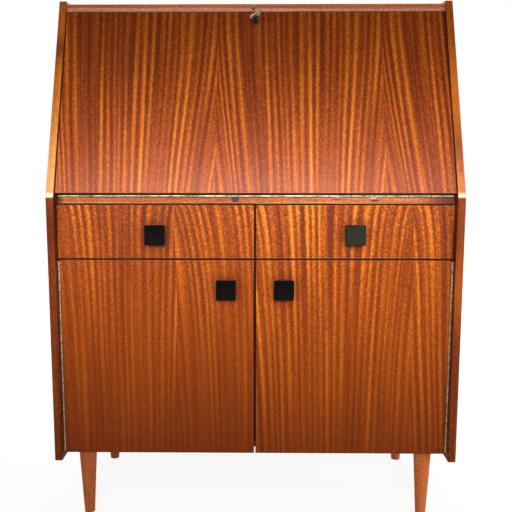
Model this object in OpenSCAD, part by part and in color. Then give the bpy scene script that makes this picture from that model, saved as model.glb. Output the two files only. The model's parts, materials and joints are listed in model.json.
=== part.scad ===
// Secretary desk: a bureau with a sloping fall flap, two drawers and a two-door cupboard on turned legs.
// X runs across the desk, +Y to the back, +Z up. The origin is on the floor, under the middle of the desk.

/* [Overall] */
// Width over the side panels
overall_w = 880; // [720:1:1100]
// Depth of the side panels, front edge to back edge
overall_d = 420; // [360:1:520]
// Height from the floor to the top of the side panels
overall_h = 1156; // [1080:1:1300]
// How far the front edges slope back between the knee and the top
slope_back = 171; // [120:1:200]
// Height of the writing surface
writing_h = 728; // [700:1:760]
// How far the knee, where the front edges start to slope, lies below the writing surface
knee_below = 1; // [0:0.5:10]
// Height of the underside of the bottom board
under_h = 166; // [120:1:220]

/* [Boards] */
// Thickness of the side panels and of every horizontal board
board_t = 16; // [14:1:22]
// Thickness of the solid lipping on the front edges of the sides
lip_t = 8; // [3:1:12]
// Thickness of the back panel
back_t = 4; // [3:0.5:6]
// Width of the rebate that takes the back panel
rebate_w = 8; // [4:1:10]
// How far the side panels hang below the bottom board
side_drop = 19; // [8:1:40]
// How far the side panels stand above the top board
side_rise = 7; // [2:1:20]

/* [Flap] */
// Thickness of the flap
flap_t = 16; // [14:1:20]
// How far the flap lies behind the sloping edges, square to the slope
flap_set = 6.5; // [2:0.5:10]
// Gap between the flap and the underside of the top board
flap_top_gap = 1; // [0.5:0.5:3]
// Gap at each end of the flap and of the drawer fronts
end_gap = 0.8; // [0.5:0.1:2]

/* [Doors and drawers] */
// Thickness of the doors and the drawer fronts
front_t = 16; // [14:1:20]
// How far the doors and drawer fronts lie behind the front edges of the sides
front_set = 20; // [16:1:26]
// Gap above and below the drawer fronts
row_gap = 2; // [1:0.5:4]
// Gap between the two doors, and between the two drawer fronts
middle_gap = 3; // [2:0.5:5]
// Height of the drawer fronts
drawer_front_h = 116; // [90:1:160]
// How far the drawer fronts hang over the drawer board
board_overlap = 7; // [4:1:10]
// How far the doors hang below the bottom board
door_drop = 8; // [2:1:12]
// Clearance between the back of the fronts and the carcass
front_clear = 1; // [0.5:0.5:2]
// Gap between the drawer boxes and the back panel
drawer_back_gap = 40; // [10:1:100]
// Gap between the drawer sides and the board above them
drawer_head_gap = 11; // [3:1:30]
// Gap between the drawer sides and the board below them
drawer_floor_gap = 4; // [1:1:8]
// Thickness of the drawer sides and backs
drawer_side_t = 12; // [10:1:14]
// Thickness of the drawer bottoms
drawer_bottom_t = 4; // [3:1:6]
// Height of the drawer bottoms above the lower edges of the drawer sides
drawer_bottom_up = 8; // [5:1:12]
// How far the drawer backs stay below the drawer sides
drawer_back_low = 6; // [0:1:15]

/* [Drawer runners] */
// Height of the runner strips
runner_h = 14; // [8:1:18]
// How far the runners stand out from the wall
runner_t = 7; // [5:0.5:8]
// Gap between a drawer side and the wall
runner_side_gap = 1; // [0.5:0.1:2]
// Running gap between a runner and its groove
groove_gap = 0.2; // [0.1:0.05:0.5]

/* [Knobs] */
// Width and height of the square knobs
knob_w = 42; // [24:1:50]
// Thickness of the knob head
knob_t = 12; // [8:1:16]
// How far the knob head stands off the front
knob_stand = 12; // [6:1:18]
// Diameter of the knob's neck
knob_neck_d = 16; // [10:1:20]
// Height of the drawer knobs above the lower edge of the drawer front
drawer_knob_up = 53; // [40:1:80]
// Distance of the door knobs from the middle line
door_knob_x = 62; // [40:1:100]
// Distance of the door knobs below the top edge of the door
door_knob_down = 63; // [40:1:200]

/* [Piano hinges] */
// Diameter of the flap hinge's barrel
flap_barrel_d = 5; // [4:0.1:6]
// Diameter of the door hinges' barrels
door_barrel_d = 3.8; // [3.4:0.1:5]
// Diameter of the hinge pins
pin_d = 2; // [1.5:0.1:2.4]
// Radial running clearance of the pins
pin_fit = 0.06; // [0.02:0.01:0.1]
// Thickness of the hinge leaves
leaf_t = 0.9; // [0.6:0.1:1.2]
// Width of the hinge leaves, from the pin's axis
leaf_w = 15; // [10:1:16]
// Length of one knuckle of the flap hinge
flap_knuckle = 24.5; // [15:0.5:40]
// Length of one knuckle of the door hinges
door_knuckle = 23; // [15:0.5:40]
// Gap between neighbouring knuckles
knuckle_gap = 0.3; // [0.2:0.1:0.6]
// Clearance round the barrels
barrel_clear = 0.3; // [0.2:0.05:0.6]

/* [Flap stays] */
// Width of the flat stays
stay_w = 14; // [12:1:16]
// Thickness of the flat stays
stay_t = 2.5; // [2:0.5:3]
// Gap between the stays' ends and the back panel, with the flap closed
stay_end_gap = 14; // [8:1:40]
// Distance of the stays' pivots from the inner face of the flap
stay_off = 9.5; // [8.5:0.5:12]
// Angle between the inner face of the closed flap and the studs, seen from the hinge
stud_angle = 10; // [9:0.5:12]
// Distance of the stays from the side panels
stay_inset = 10; // [8:0.5:12]
// Diameter of the studs that the stays slide on
stud_d = 6; // [5:0.5:6.5]
// Gap between a stud and its slot
slot_gap = 0.25; // [0.15:0.05:0.4]
// Diameter of the stays' pivot pins
stay_pin_d = 4; // [3:0.5:5]
// Gap between a stay and the pieces on either side of it
stay_side_gap = 0.4; // [0.3:0.1:0.8]

/* [Lock] */
// Distance of the keyhole from the top edge of the flap
key_down = 23; // [20:1:30]
// Width of the lock case
lock_w = 52; // [40:1:70]
// Depth of the lock case into the flap
lock_t = 12; // [10:1:13]
// Travel of the lock bolt
bolt_travel = 10; // [8:1:12]
// Angle of the key's bow from level
bow_angle = 26; // [0:1:80]

/* [Letter rack] */
// Height of the letter rack
rack_h = 210; // [140:1:260]
// Depth of the letter rack
rack_d = 200; // [120:1:220]
// Distance of the letter rack's ends from the side panels
rack_inset = 26; // [22:1:60]
// Thickness of the letter rack's boards
rack_t = 10; // [8:1:14]
// Number of upright dividers in the letter rack
rack_dividers_n = 3; // [1:1:5]

/* [Legs and shelf] */
// Distance of the leg centres from the outer faces of the sides
leg_in_x = 60; // [45:1:90]
// How far the tops of the front legs lie behind the front edge of the bottom board
leg_front_in = 0.5; // [0.5:0.5:30]
// How far the tops of the back legs lie in front of the desk's back
leg_back_in = 37; // [10:1:80]
// Diameter of the legs at the top
leg_top_d = 41; // [30:1:50]
// Diameter of the legs at the foot
leg_foot_d = 23; // [18:1:30]
// Thickness of the leg plates
plate_t = 3; // [2:0.5:4]
// Diameter of the hanger bolts
leg_bolt_d = 8; // [6:1:10]
// Height of the shelf above the bottom board
shelf_up = 195; // [120:1:280]
// How far the shelf's front edge lies behind the doors
shelf_back = 30; // [5:1:80]
// Gap at each end of the shelf
shelf_gap = 2; // [1.6:0.1:4]

/* [Hidden] */
$fn = 48;

// Carcass planes
inner_x = overall_w / 2 - board_t;
knob_reach = max(0, knob_stand + knob_t - front_set);
front_y = -(overall_d - knob_reach) / 2;
back_y = front_y + overall_d;
back_in_y = back_y - back_t;
boards_y = front_y + front_set + front_t + front_clear;
side_z = under_h - side_drop;
top_z = overall_h - side_rise;
top_under = top_z - board_t;
desk_under = writing_h - board_t;
knee_h = writing_h - knee_below;
slope = atan(slope_back / (overall_h - knee_h));
slope_top_y = front_y + slope_back;
lip_knee_z = knee_h - lip_t * tan(slope / 2);
lip_top_y = slope_top_y + lip_t / cos(slope);
top_front_y = front_y + (top_under - knee_h) * tan(slope) + flap_set / cos(slope);
front_face_y = front_y + front_set;
panel_gap = 0.3;

// Front rows
drawer_front_z = desk_under - row_gap - drawer_front_h;
drawer_board_z = drawer_front_z + board_overlap - board_t;
door_top_z = drawer_front_z - row_gap;
door_z = under_h - door_drop;
door_h = door_top_z - door_z;
divider_x = board_t / 2;

// Flap and its hinge
hinge_y = front_y + knee_below * tan(slope) + (flap_set + flap_t) / cos(slope);
flap_len = (top_under - flap_top_gap - flap_t * sin(slope) - writing_h) / cos(slope);
flap_barrel_r = flap_barrel_d / 2;
flap_clear_r = flap_barrel_r + barrel_clear;
flap_foot = 0.2;
hinge_end = 3;
flap_hinge_l = 2 * (inner_x - hinge_end);
flap_knuckles = 2 * round(flap_hinge_l / flap_knuckle / 2) + 1;
leaf_sink = leaf_t + 0.1;
leaf_gap = 0.2;

// Door hinges
door_barrel_r = door_barrel_d / 2;
door_axis_gap = door_barrel_r + 0.05;
door_axis_x = inner_x - door_axis_gap;
door_axis_y = front_y + front_set - door_barrel_r;
door_edge_x = door_axis_x - door_axis_gap;
door_hinge_l = door_h - 2 * hinge_end;
door_knuckles = 2 * round(door_hinge_l / door_knuckle / 2) + 1;

// Flap stays. Pivot and stud lie stay_r from the hinge axis, so the line between them turns at half the
// flap's angle. The stay turns a little more against the flap than that, which bends its slot upwards.
open_angle = 90 + slope;
stay_turn = 0.5 + slope / 220;
stay_curl = stay_turn - 0.5;
pivot_angle_near = 3;
stay_reach = 2 * sin((stud_angle - pivot_angle_near + open_angle) / 2);
stay_droop = slope + (stud_angle + pivot_angle_near) / 2 - stay_curl * open_angle;
stay_r = (back_in_y - stay_end_gap - stay_w / 2 - hinge_y)
    / (sin(slope + pivot_angle_near) + stay_reach * cos(stay_droop));
pivot_angle = asin(stay_off / stay_r);
stud_lead = stud_angle - pivot_angle;
stay_x = inner_x - stay_inset;
slot_r = stud_d / 2 + slot_gap;
slot_steps = 28;
ear_t = 2;
ear_r = 5;
ear_x = stay_x - stay_t / 2 - stay_side_gap - ear_t;
bracket_l = 36;
bracket_foot = 8;
plate_thin = 1.5;
stud_plate_w = 22;
stud_plate_l = 44;
stud_head_r = 6;
stud_head_t = 1.5;
pin_head_r = 3.4;
pin_head_t = 1.2;

// Lock
key_z = flap_len - key_down;
key_r = 2.5;
bit_r = 5.2;
bolt_w = 26;
bolt_t = 6;
bolt_y = -(lock_t - bolt_t) / 2;
bolt_gap = 0.25;
lock_below_key = 14;
lock_h = key_down + lock_below_key;
lock_wall = 2;
lock_gap = 0.1;
bit_gap = 0.3;
pocket_gap = 1.2;
strike_gap = 0.8;
strike_t = 1.2;
strike_w = bolt_w + 18;
strike_d = 22;
strike_front_y = top_front_y + 4;
bow_reach = 22;
bow_w = 26;
bow_h = 18;
bow_t = 2.2;
bow_rim = 4;
key_in = 1.5;
bit_t = 2;
bit_start = 2.6;
esc_w = 17;
esc_t = 1.5;

// Drawers
drawer_mid_x = (inner_x + divider_x) / 2;
drawer_box_y = front_y + front_set + front_t;
drawer_l = back_in_y - drawer_back_gap - drawer_box_y;
drawer_side_z = drawer_board_z + board_t + drawer_floor_gap;
drawer_side_h = desk_under - drawer_head_gap - drawer_side_z;
drawer_bottom_z = drawer_side_z + drawer_bottom_up;
box_x = [divider_x + runner_side_gap, inner_x - runner_side_gap];
runner_z = drawer_side_z + drawer_side_h / 2;
runner_y = boards_y + 16;
runner_l = drawer_l - 22;
groove_front = 2;
groove_d = runner_t - runner_side_gap + 0.5;
bottom_in = 5;
bottom_gap = 0.1;

// Shelf, rack and legs
shelf_z = under_h + board_t + shelf_up;
shelf_y = boards_y + shelf_back;
shelf_rear_gap = 2;
shelf_pin_r = 2.5;
shelf_pin_l = 17;
shelf_pin_out = 9;
shelf_pin_fit = 0.05;
shelf_collar_t = 1.5;
shelf_collar_r = shelf_pin_r + 1.5;
shelf_pin_z = shelf_z - shelf_pin_r;
shelf_pin_places = [shelf_y + 30, back_in_y - 50];
rack_half_w = inner_x - rack_inset;
rack_y = back_in_y - rack_d;
leg_x = overall_w / 2 - leg_in_x;
leg_front_y = boards_y + leg_front_in + leg_top_d / 2;
leg_back_y = back_y - leg_back_in - leg_top_d / 2;
leg_places = [[-leg_x, leg_front_y], [leg_x, leg_front_y], [-leg_x, leg_back_y], [leg_x, leg_back_y]];
leg_l = under_h - plate_t;
leg_bolt_up = 12;
leg_bolt_down = 28;
foot_round = 2;
plate_w = leg_top_d + 1;
plate_corner = 6;

// Knobs and catches
knob_bevel = 1.5;
knob_dish = 0.8;
knob_dish_r = 260;
keeper_x = 24;
keeper_w = 36;
keeper_h = 12;
keeper_t = 1.2;
keeper_low = 1;
catch_gap = 0.3;
catch_d = 14;

// ---------------------------------------------------------------- helpers

// A board from one corner to the other.
module board(low, high) {
    translate(low) cube(high - low);
}

// The same shape on both sides of the desk.
module both_sides() {
    children();
    mirror([1, 0, 0]) children();
}

// Puts a right-hand shape on the left when side is -1.
module on_side(side) {
    mirror([side < 0 ? 1 : 0, 0, 0]) children();
}

// A frame on the hinge axis: Z runs up the flap, Y into the desk.
module flap_frame() {
    translate([0, hinge_y, writing_h]) rotate([-slope, 0, 0]) children();
}

// A (y, z) outline given thickness along X, starting at x.
module across(x, width) {
    translate([x, 0, 0]) rotate([90, 0, 90]) linear_extrude(width) children();
}

// ---------------------------------------------------------------- sides

module side_panel() {
    difference() {
        across(inner_x, board_t) polygon([[front_y + lip_t, side_z], [front_y + lip_t, lip_knee_z],
            [lip_top_y, overall_h], [back_y, overall_h], [back_y, side_z]]);
        board([inner_x - 1, back_in_y, under_h], [inner_x + rebate_w, back_y + 1, top_z]);
        for (dy = shelf_pin_places) translate([inner_x - 1, dy, shelf_pin_z]) rotate([0, 90, 0])
            cylinder(r = shelf_pin_r + shelf_pin_fit, h = shelf_pin_l - shelf_pin_out + 2);
    }
}

module side_left() {
    color("#8f4418") mirror([1, 0, 0]) side_panel();
}

module side_right() {
    color("#8f4418") side_panel();
}

module side_lipping() {
    across(inner_x, board_t) polygon([[front_y, side_z], [front_y, knee_h], [slope_top_y, overall_h],
        [lip_top_y, overall_h], [front_y + lip_t, lip_knee_z], [front_y + lip_t, side_z]]);
}

module side_lipping_left() {
    color("#b8642c") mirror([1, 0, 0]) side_lipping();
}

module side_lipping_right() {
    color("#b8642c") side_lipping();
}

// ---------------------------------------------------------------- boards

// The slanted pocket that the lock bolt shoots into.
module bolt_pocket(spare) {
    flap_frame() translate([-bolt_w / 2 - spare, bolt_y - bolt_t - spare, flap_len - 6])
        cube([bolt_w + 2 * spare, bolt_t + 2 * spare, 6 + bolt_travel + spare]);
}

module top_board() {
    color("#8f4418") difference() {
        board([-inner_x, top_front_y, top_under], [inner_x, back_in_y, top_z]);
        bolt_pocket(pocket_gap);
        strike_recess(lock_gap / 2);
    }
}

// The recess for the strike plate.
module strike_recess(spare) {
    board([-strike_w / 2 - spare, strike_front_y - spare, top_under - 1],
        [strike_w / 2 + spare, strike_front_y + strike_d + spare, top_under + strike_t]);
}

module strike_plate() {
    color("#b59a5a") difference() {
        board([-strike_w / 2, strike_front_y, top_under],
            [strike_w / 2, strike_front_y + strike_d, top_under + strike_t]);
        bolt_pocket(strike_gap);
    }
}

module desk_board() {
    color("#a5531f") difference() {
        board([-inner_x, hinge_y + flap_clear_r, desk_under], [inner_x, back_in_y, writing_h]);
        board([-flap_hinge_l / 2 - leaf_gap, hinge_y, writing_h - leaf_sink],
            [flap_hinge_l / 2 + leaf_gap, hinge_y + leaf_w + leaf_gap, writing_h + 1]);
    }
}

module drawer_board() {
    color("#8f4418")
        board([-inner_x, boards_y, drawer_board_z], [inner_x, back_in_y, drawer_board_z + board_t]);
}

module drawer_divider() {
    color("#8f4418")
        board([-divider_x, boards_y, drawer_board_z + board_t], [divider_x, back_in_y, desk_under]);
}

module bottom_board() {
    color("#8f4418") difference() {
        board([-inner_x, boards_y, under_h], [inner_x, back_in_y, under_h + board_t]);
        for (p = leg_places) translate([p.x, p.y, under_h - 1])
            cylinder(d = leg_bolt_d + 1, h = leg_bolt_up + 1.5);
    }
}

module back_panel() {
    edge = inner_x + rebate_w - panel_gap;
    color("#7a4a2a") board([-edge, back_in_y, under_h], [edge, back_y, top_z]);
}

module cupboard_shelf() {
    color("#8f4418")
        board([-inner_x + shelf_gap, shelf_y, shelf_z], [inner_x - shelf_gap, back_in_y - shelf_rear_gap,
            shelf_z + board_t]);
}

module shelf_pins() {
    color("#b59a5a") both_sides() for (dy = shelf_pin_places)
        translate([inner_x, dy, shelf_pin_z]) rotate([0, 90, 0]) {
            translate([0, 0, -shelf_pin_out]) cylinder(r = shelf_pin_r, h = shelf_pin_l);
            translate([0, 0, -shelf_collar_t]) cylinder(r = shelf_collar_r, h = shelf_collar_t);
        }
}

// Four hardwood strips that carry the drawers.
module drawer_runners() {
    color("#c9a06a") both_sides() {
        board([inner_x - runner_t, runner_y, runner_z - runner_h / 2],
            [inner_x, runner_y + runner_l, runner_z + runner_h / 2]);
        board([divider_x, runner_y, runner_z - runner_h / 2],
            [divider_x + runner_t, runner_y + runner_l, runner_z + runner_h / 2]);
    }
}

// ---------------------------------------------------------------- legs

// A turned leg: a straight taper with a softened foot and a bore for the hanger bolt.
module leg(place) {
    color("#b5622a") translate([place.x, place.y, 0]) rotate_extrude($fn = 96) difference() {
        polygon([[0, 0], [leg_foot_d / 2 - foot_round, 0],
            for (a = [15 : 15 : 75])
                [leg_foot_d / 2 - foot_round * (1 - sin(a)), foot_round * (1 - cos(a))],
            [leg_foot_d / 2, foot_round], [leg_top_d / 2, leg_l], [0, leg_l]]);
        translate([-1, leg_l - leg_bolt_down]) square([leg_bolt_d / 2 + 1.05, leg_bolt_down + 1]);
    }
}

module leg_front_left() leg(leg_places[0]);
module leg_front_right() leg(leg_places[1]);
module leg_back_left() leg(leg_places[2]);
module leg_back_right() leg(leg_places[3]);

module leg_plates() {
    color("#8d8f92") for (p = leg_places) translate([p.x, p.y, leg_l]) difference() {
        linear_extrude(plate_t) union() {
            square([plate_w, plate_w - 2 * plate_corner], center = true);
            square([plate_w - 2 * plate_corner, plate_w], center = true);
            for (sx = [-1, 1], sy = [-1, 1])
                translate([sx, sy] * (plate_w / 2 - plate_corner)) circle(r = plate_corner);
        }
        translate([0, 0, -1]) cylinder(d = leg_bolt_d + 0.1, h = plate_t + 2);
    }
}

module leg_bolts() {
    color("#a9abad") for (p = leg_places) translate([p.x, p.y, leg_l - leg_bolt_down])
        cylinder(d = leg_bolt_d, h = leg_bolt_down + plate_t + leg_bolt_up);
}

// ---------------------------------------------------------------- letter rack

module rack_top() {
    color("#a5531f") board([-rack_half_w, rack_y, writing_h + rack_h - rack_t],
        [rack_half_w, back_in_y, writing_h + rack_h]);
}

module rack_upright(x) {
    board([x - rack_t / 2, rack_y, writing_h], [x + rack_t / 2, back_in_y, writing_h + rack_h - rack_t]);
}

module rack_ends() {
    color("#a5531f") both_sides() rack_upright(rack_half_w - rack_t / 2);
}

module rack_dividers() {
    pitch = (2 * rack_half_w - rack_t) / (rack_dividers_n + 1);
    color("#a5531f") for (k = [1 : rack_dividers_n]) rack_upright(-rack_half_w + rack_t / 2 + k * pitch);
}

// ---------------------------------------------------------------- piano hinges

// One leaf of a piano hinge. The pin runs along Z, the leaf along X, its plate from y = low to low + leaf_t.
// It owns every second knuckle, starting at first.
module piano_leaf(len, count, first, barrel_r, low) {
    pitch = len / count;
    clear_r = barrel_r + barrel_clear;
    translate([clear_r, low, 0]) cube([leaf_w - clear_r, leaf_t, len]);
    for (k = [first : 2 : count - 1]) translate([0, 0, k * pitch + knuckle_gap / 2])
        linear_extrude(pitch - knuckle_gap) difference() {
            union() {
                circle(r = barrel_r);
                translate([0, low]) square([clear_r + 0.2, leaf_t]);
            }
            circle(r = pin_d / 2 + pin_fit);
        }
}

// Lays a hinge made along Z across the desk, with its leaf running to the back.
module lay_across(len) {
    translate([-len / 2, 0, 0]) rotate([90, 0, 90]) children();
}

module flap_hinge_fixed() {
    color("#c8b27a") translate([0, hinge_y, writing_h]) lay_across(flap_hinge_l)
        piano_leaf(flap_hinge_l, flap_knuckles, 0, flap_barrel_r, -leaf_t);
}

module flap_hinge_leaf() {
    color("#c8b27a") flap_frame() rotate([90, 0, 0]) lay_across(flap_hinge_l)
        piano_leaf(flap_hinge_l, flap_knuckles, 1, flap_barrel_r, 0);
}

module flap_hinge_pin() {
    color("#a9abad") translate([0, hinge_y, writing_h]) lay_across(flap_hinge_l)
        cylinder(d = pin_d, h = flap_hinge_l);
}

// Puts a door hinge's own frame, pin along Z and leaf along X, at the right-hand door's edge.
module at_door_hinge() {
    translate([door_axis_x, door_axis_y, door_z + hinge_end]) rotate([0, 0, 90]) children();
}

module door_hinge_fixed(side) {
    color("#c8b27a") on_side(side) at_door_hinge()
        piano_leaf(door_hinge_l, door_knuckles, 0, door_barrel_r, -door_axis_gap);
}

module door_leaf(side) {
    color("#c8b27a") on_side(side) at_door_hinge()
        piano_leaf(door_hinge_l, door_knuckles, 1, door_barrel_r, door_axis_gap - leaf_t);
}

module door_hinge_fixed_left() door_hinge_fixed(-1);
module door_hinge_fixed_right() door_hinge_fixed(1);
module door_left_leaf() door_leaf(-1);
module door_right_leaf() door_leaf(1);

module door_hinge_pins() {
    color("#a9abad") both_sides() at_door_hinge() cylinder(d = pin_d, h = door_hinge_l);
}

// ---------------------------------------------------------------- doors and knobs

// A rectangle in the middle of the plane, with its corners cut off.
module cut_corner_rect(w, h, cut) {
    polygon([[-w / 2 + cut, -h / 2], [w / 2 - cut, -h / 2], [w / 2, -h / 2 + cut], [w / 2, h / 2 - cut],
        [w / 2 - cut, h / 2], [-w / 2 + cut, h / 2], [-w / 2, h / 2 - cut], [-w / 2, -h / 2 + cut]]);
}

// The knob's head, bevelled all round: what three bevelled outlines have in common.
module knob_head() {
    intersection() {
        linear_extrude(knob_t, center = true) cut_corner_rect(knob_w, knob_w, knob_bevel);
        rotate([90, 0, 0]) linear_extrude(knob_w, center = true) cut_corner_rect(knob_w, knob_t, knob_bevel);
        rotate([90, 0, 90]) linear_extrude(knob_w, center = true) cut_corner_rect(knob_w, knob_t, knob_bevel);
    }
}

// A square knob whose dished head stands off on a round neck, its foot on y = 0.
module knob() {
    color("#17181a") rotate([90, 0, 0]) {
        cylinder(d = knob_neck_d, h = knob_stand + knob_t / 2);
        difference() {
            translate([0, 0, knob_stand + knob_t / 2]) knob_head();
            translate([0, 0, knob_stand + knob_t + knob_dish_r - knob_dish])
                rotate([0, 90, 0]) sphere(r = knob_dish_r, $fn = 96);
        }
    }
}

module door(side) {
    color("#b5571c") on_side(side)
        board([middle_gap / 2, front_face_y, door_z], [door_edge_x, front_face_y + front_t, door_top_z]);
}

module door_knob(side) {
    on_side(side) translate([door_knob_x, front_face_y, door_top_z - door_knob_down]) knob();
}

module door_keeper(side) {
    y = front_face_y + front_t;
    z = drawer_board_z - keeper_low;
    color("#a9abad") on_side(side)
        board([keeper_x, y, z - keeper_h], [keeper_x + keeper_w, y + keeper_t, z]);
}

module door_catches() {
    y = front_face_y + front_t + keeper_t + catch_gap;
    color("#6b4a2c") both_sides() board([keeper_x, y, drawer_board_z - keeper_h],
        [keeper_x + keeper_w, y + catch_d, drawer_board_z]);
}

module door_left() door(-1);
module door_right() door(1);
module door_left_knob() door_knob(-1);
module door_right_knob() door_knob(1);
module door_left_keeper() door_keeper(-1);
module door_right_keeper() door_keeper(1);

// ---------------------------------------------------------------- drawers

module drawer_front(side) {
    color("#b5571c") on_side(side) difference() {
        board([middle_gap / 2, front_face_y, drawer_front_z],
            [inner_x - end_gap, front_face_y + front_t, drawer_front_z + drawer_front_h]);
        drawer_bottom_blank(bottom_gap);
    }
}

// A drawer side with its runner groove, and the groove that takes the bottom.
module drawer_side() {
    difference() {
        board([box_x[1] - drawer_side_t, drawer_box_y, drawer_side_z],
            [box_x[1], drawer_box_y + drawer_l, drawer_side_z + drawer_side_h]);
        board([box_x[1] - groove_d, runner_y - groove_front, runner_z - runner_h / 2 - groove_gap],
            [box_x[1] + 1, drawer_box_y + drawer_l + 1, runner_z + runner_h / 2 + groove_gap]);
        drawer_bottom_blank(bottom_gap);
    }
}

module drawer_sides(side) {
    color("#c9a06a") on_side(side) {
        drawer_side();
        translate([2 * drawer_mid_x, 0, 0]) mirror([1, 0, 0]) drawer_side();
    }
}

module drawer_back(side) {
    color("#c9a06a") on_side(side) board(
        [box_x[0] + drawer_side_t, drawer_box_y + drawer_l - drawer_side_t,
            drawer_bottom_z + drawer_bottom_t],
        [box_x[1] - drawer_side_t, drawer_box_y + drawer_l,
            drawer_side_z + drawer_side_h - drawer_back_low]);
}

module drawer_bottom_blank(spare) {
    board([box_x[0] + drawer_side_t - bottom_in - spare, drawer_box_y - bottom_in - spare,
        drawer_bottom_z - spare],
        [box_x[1] - drawer_side_t + bottom_in + spare, drawer_box_y + drawer_l + spare,
            drawer_bottom_z + drawer_bottom_t + spare]);
}

module drawer_bottom(side) {
    color("#c9a06a") on_side(side) drawer_bottom_blank(0);
}

module drawer_knob(side) {
    on_side(side) translate([(middle_gap / 2 + inner_x - end_gap) / 2, front_face_y,
        drawer_front_z + drawer_knob_up]) knob();
}

module left_drawer_front() drawer_front(-1);
module left_drawer_sides() drawer_sides(-1);
module left_drawer_back() drawer_back(-1);
module left_drawer_bottom() drawer_bottom(-1);
module left_drawer_knob() drawer_knob(-1);
module right_drawer_front() drawer_front(1);
module right_drawer_sides() drawer_sides(1);
module right_drawer_back() drawer_back(1);
module right_drawer_bottom() drawer_bottom(1);
module right_drawer_knob() drawer_knob(1);

// ---------------------------------------------------------------- flap and lock

module flap_board() {
    color("#8a3d14") flap_frame() difference() {
        board([-inner_x + end_gap, -flap_t, flap_foot], [inner_x - end_gap, 0, flap_len]);
        translate([-inner_x, 0, 0]) rotate([0, 90, 0]) cylinder(r = flap_clear_r, h = 2 * inner_x);
        board([-flap_hinge_l / 2 - leaf_gap, -leaf_sink, 0],
            [flap_hinge_l / 2 + leaf_gap, 1, leaf_w + leaf_gap]);
        board([-lock_w / 2 - lock_gap, -lock_t - lock_gap, flap_len - lock_h - lock_gap],
            [lock_w / 2 + lock_gap, 1, flap_len + 1]);
        translate([0, -lock_t, key_z]) rotate([90, 0, 0]) cylinder(r = bit_r + bit_gap, h = flap_t);
    }
}

// The lock case: a shallow box let into the flap, with a channel for the bolt and a bore for the key.
module lock_case() {
    color("#b59a5a") flap_frame() difference() {
        board([-lock_w / 2, -lock_t, flap_len - lock_h], [lock_w / 2, 0, flap_len]);
        board([-bolt_w / 2 - bolt_gap, bolt_y - bolt_t - bolt_gap, flap_len - lock_h + lock_wall],
            [bolt_w / 2 + bolt_gap, bolt_y + bolt_gap, flap_len + 1]);
        translate([0, bolt_y - bolt_t / 2, key_z]) rotate([90, 0, 0])
            cylinder(r = bit_r + bit_gap, h = lock_t);
        translate([0, -key_in / 2, key_z]) rotate([90, 0, 0]) cylinder(r = key_r + pin_fit, h = lock_t);
    }
}

// The bolt, with a slot up from its lower end for the key's bit.
module lock_bolt() {
    low = flap_len - lock_h + lock_wall + bolt_gap;
    color("#c8b27a") flap_frame() difference() {
        board([-bolt_w / 2, bolt_y - bolt_t, low], [bolt_w / 2, bolt_y, flap_len]);
        board([-bit_r - bit_gap, bolt_y - bolt_t - 1, low - 1],
            [bit_r + bit_gap, bolt_y + 1, key_z + bit_r + bit_gap]);
    }
}

module escutcheon() {
    color("#3a3a36") flap_frame() translate([0, -flap_t, key_z]) difference() {
        translate([-esc_w / 2, -esc_t, -esc_w / 2]) cube([esc_w, esc_t, esc_w]);
        translate([0, 1, 0]) rotate([90, 0, 0]) cylinder(r = key_r + bit_gap, h = esc_t + 2);
    }
}

// The key: a round shank with its bit inside the lock and a pierced flat bow outside.
module key() {
    color("#c9a85a") flap_frame() translate([0, -key_in, key_z]) rotate([90, 0, 0])
        rotate([0, 0, bow_angle]) {
            cylinder(r = key_r, h = flap_t + bow_reach - bow_h / 2 + bow_rim / 2);
            translate([0, -bit_t / 2, bit_start]) cube([bit_r - bit_gap, bit_t, bolt_t - 1]);
            translate([0, 0, flap_t + esc_t + key_in]) cylinder(r = key_r + 1, h = 1.5);
            translate([0, bow_t / 2, flap_t + bow_reach]) rotate([90, 0, 0]) difference() {
                scale([bow_w / bow_h, 1, 1]) cylinder(d = bow_h, h = bow_t);
                translate([0, 0, -1]) scale([bow_w / bow_h, 1, 1])
                    cylinder(d = bow_h - 2 * bow_rim, h = bow_t + 2);
            }
        }
}

// ---------------------------------------------------------------- flap stays

// Where the stud stands in the stay's own plane when the flap has opened by t: [across, along], with the
// pivot at the origin.
function slot_point(t) = 2 * stay_r * sin((stud_lead + t) / 2) * [-sin(stay_curl * t), cos(stay_curl * t)];

// A point at distance off from the slot's middle line, turned by an angle from the line's own direction.
function slot_side(t, off, turn) =
    let (run = slot_point(t + 0.5) - slot_point(t - 0.5), heading = atan2(run.y, run.x) + turn)
    slot_point(t) + off * [cos(heading), sin(heading)];

// The strip within off of the slot's middle line, from one flap angle to another, with round ends.
module slot_strip(from, to, off) {
    steps = [for (k = [0 : slot_steps]) from + (to - from) * k / slot_steps];
    polygon(concat([for (t = steps) slot_side(t, off, 90)],
        [for (turn = [75 : -15 : -75]) slot_side(to, off, turn)],
        [for (k = [slot_steps : -1 : 0]) slot_side(steps[k], off, -90)],
        [for (turn = [-105 : -15 : -255]) slot_side(from, off, turn)]));
}

// The stay's own frame with the flap closed: origin on the pivot, Z towards the stud, Y down.
module stay_frame(side) {
    translate([side * stay_x, hinge_y, writing_h]) rotate([-slope - pivot_angle, 0, 0])
        translate([0, 0, stay_r]) rotate([-90 - stud_lead / 2, 0, 0]) children();
}

// A flat stay: an eye on the flap's pivot pin, and a bent slot that slides along the stud on the side.
module stay(side) {
    color("#c8b27a") stay_frame(side) across(-stay_t / 2, stay_t) difference() {
        slot_strip(-stud_lead, open_angle, stay_w / 2);
        slot_strip(0, open_angle, slot_r);
        circle(d = stay_pin_d + 2 * pin_fit);
    }
}

module stay_left() stay(-1);
module stay_right() stay(1);

// A flat plate with round ends.
module round_plate(len, width, thick) {
    linear_extrude(thick) {
        square([len - width, width], center = true);
        for (sx = [-1, 1]) translate([sx * (len - width) / 2, 0]) circle(d = width);
    }
}

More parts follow.
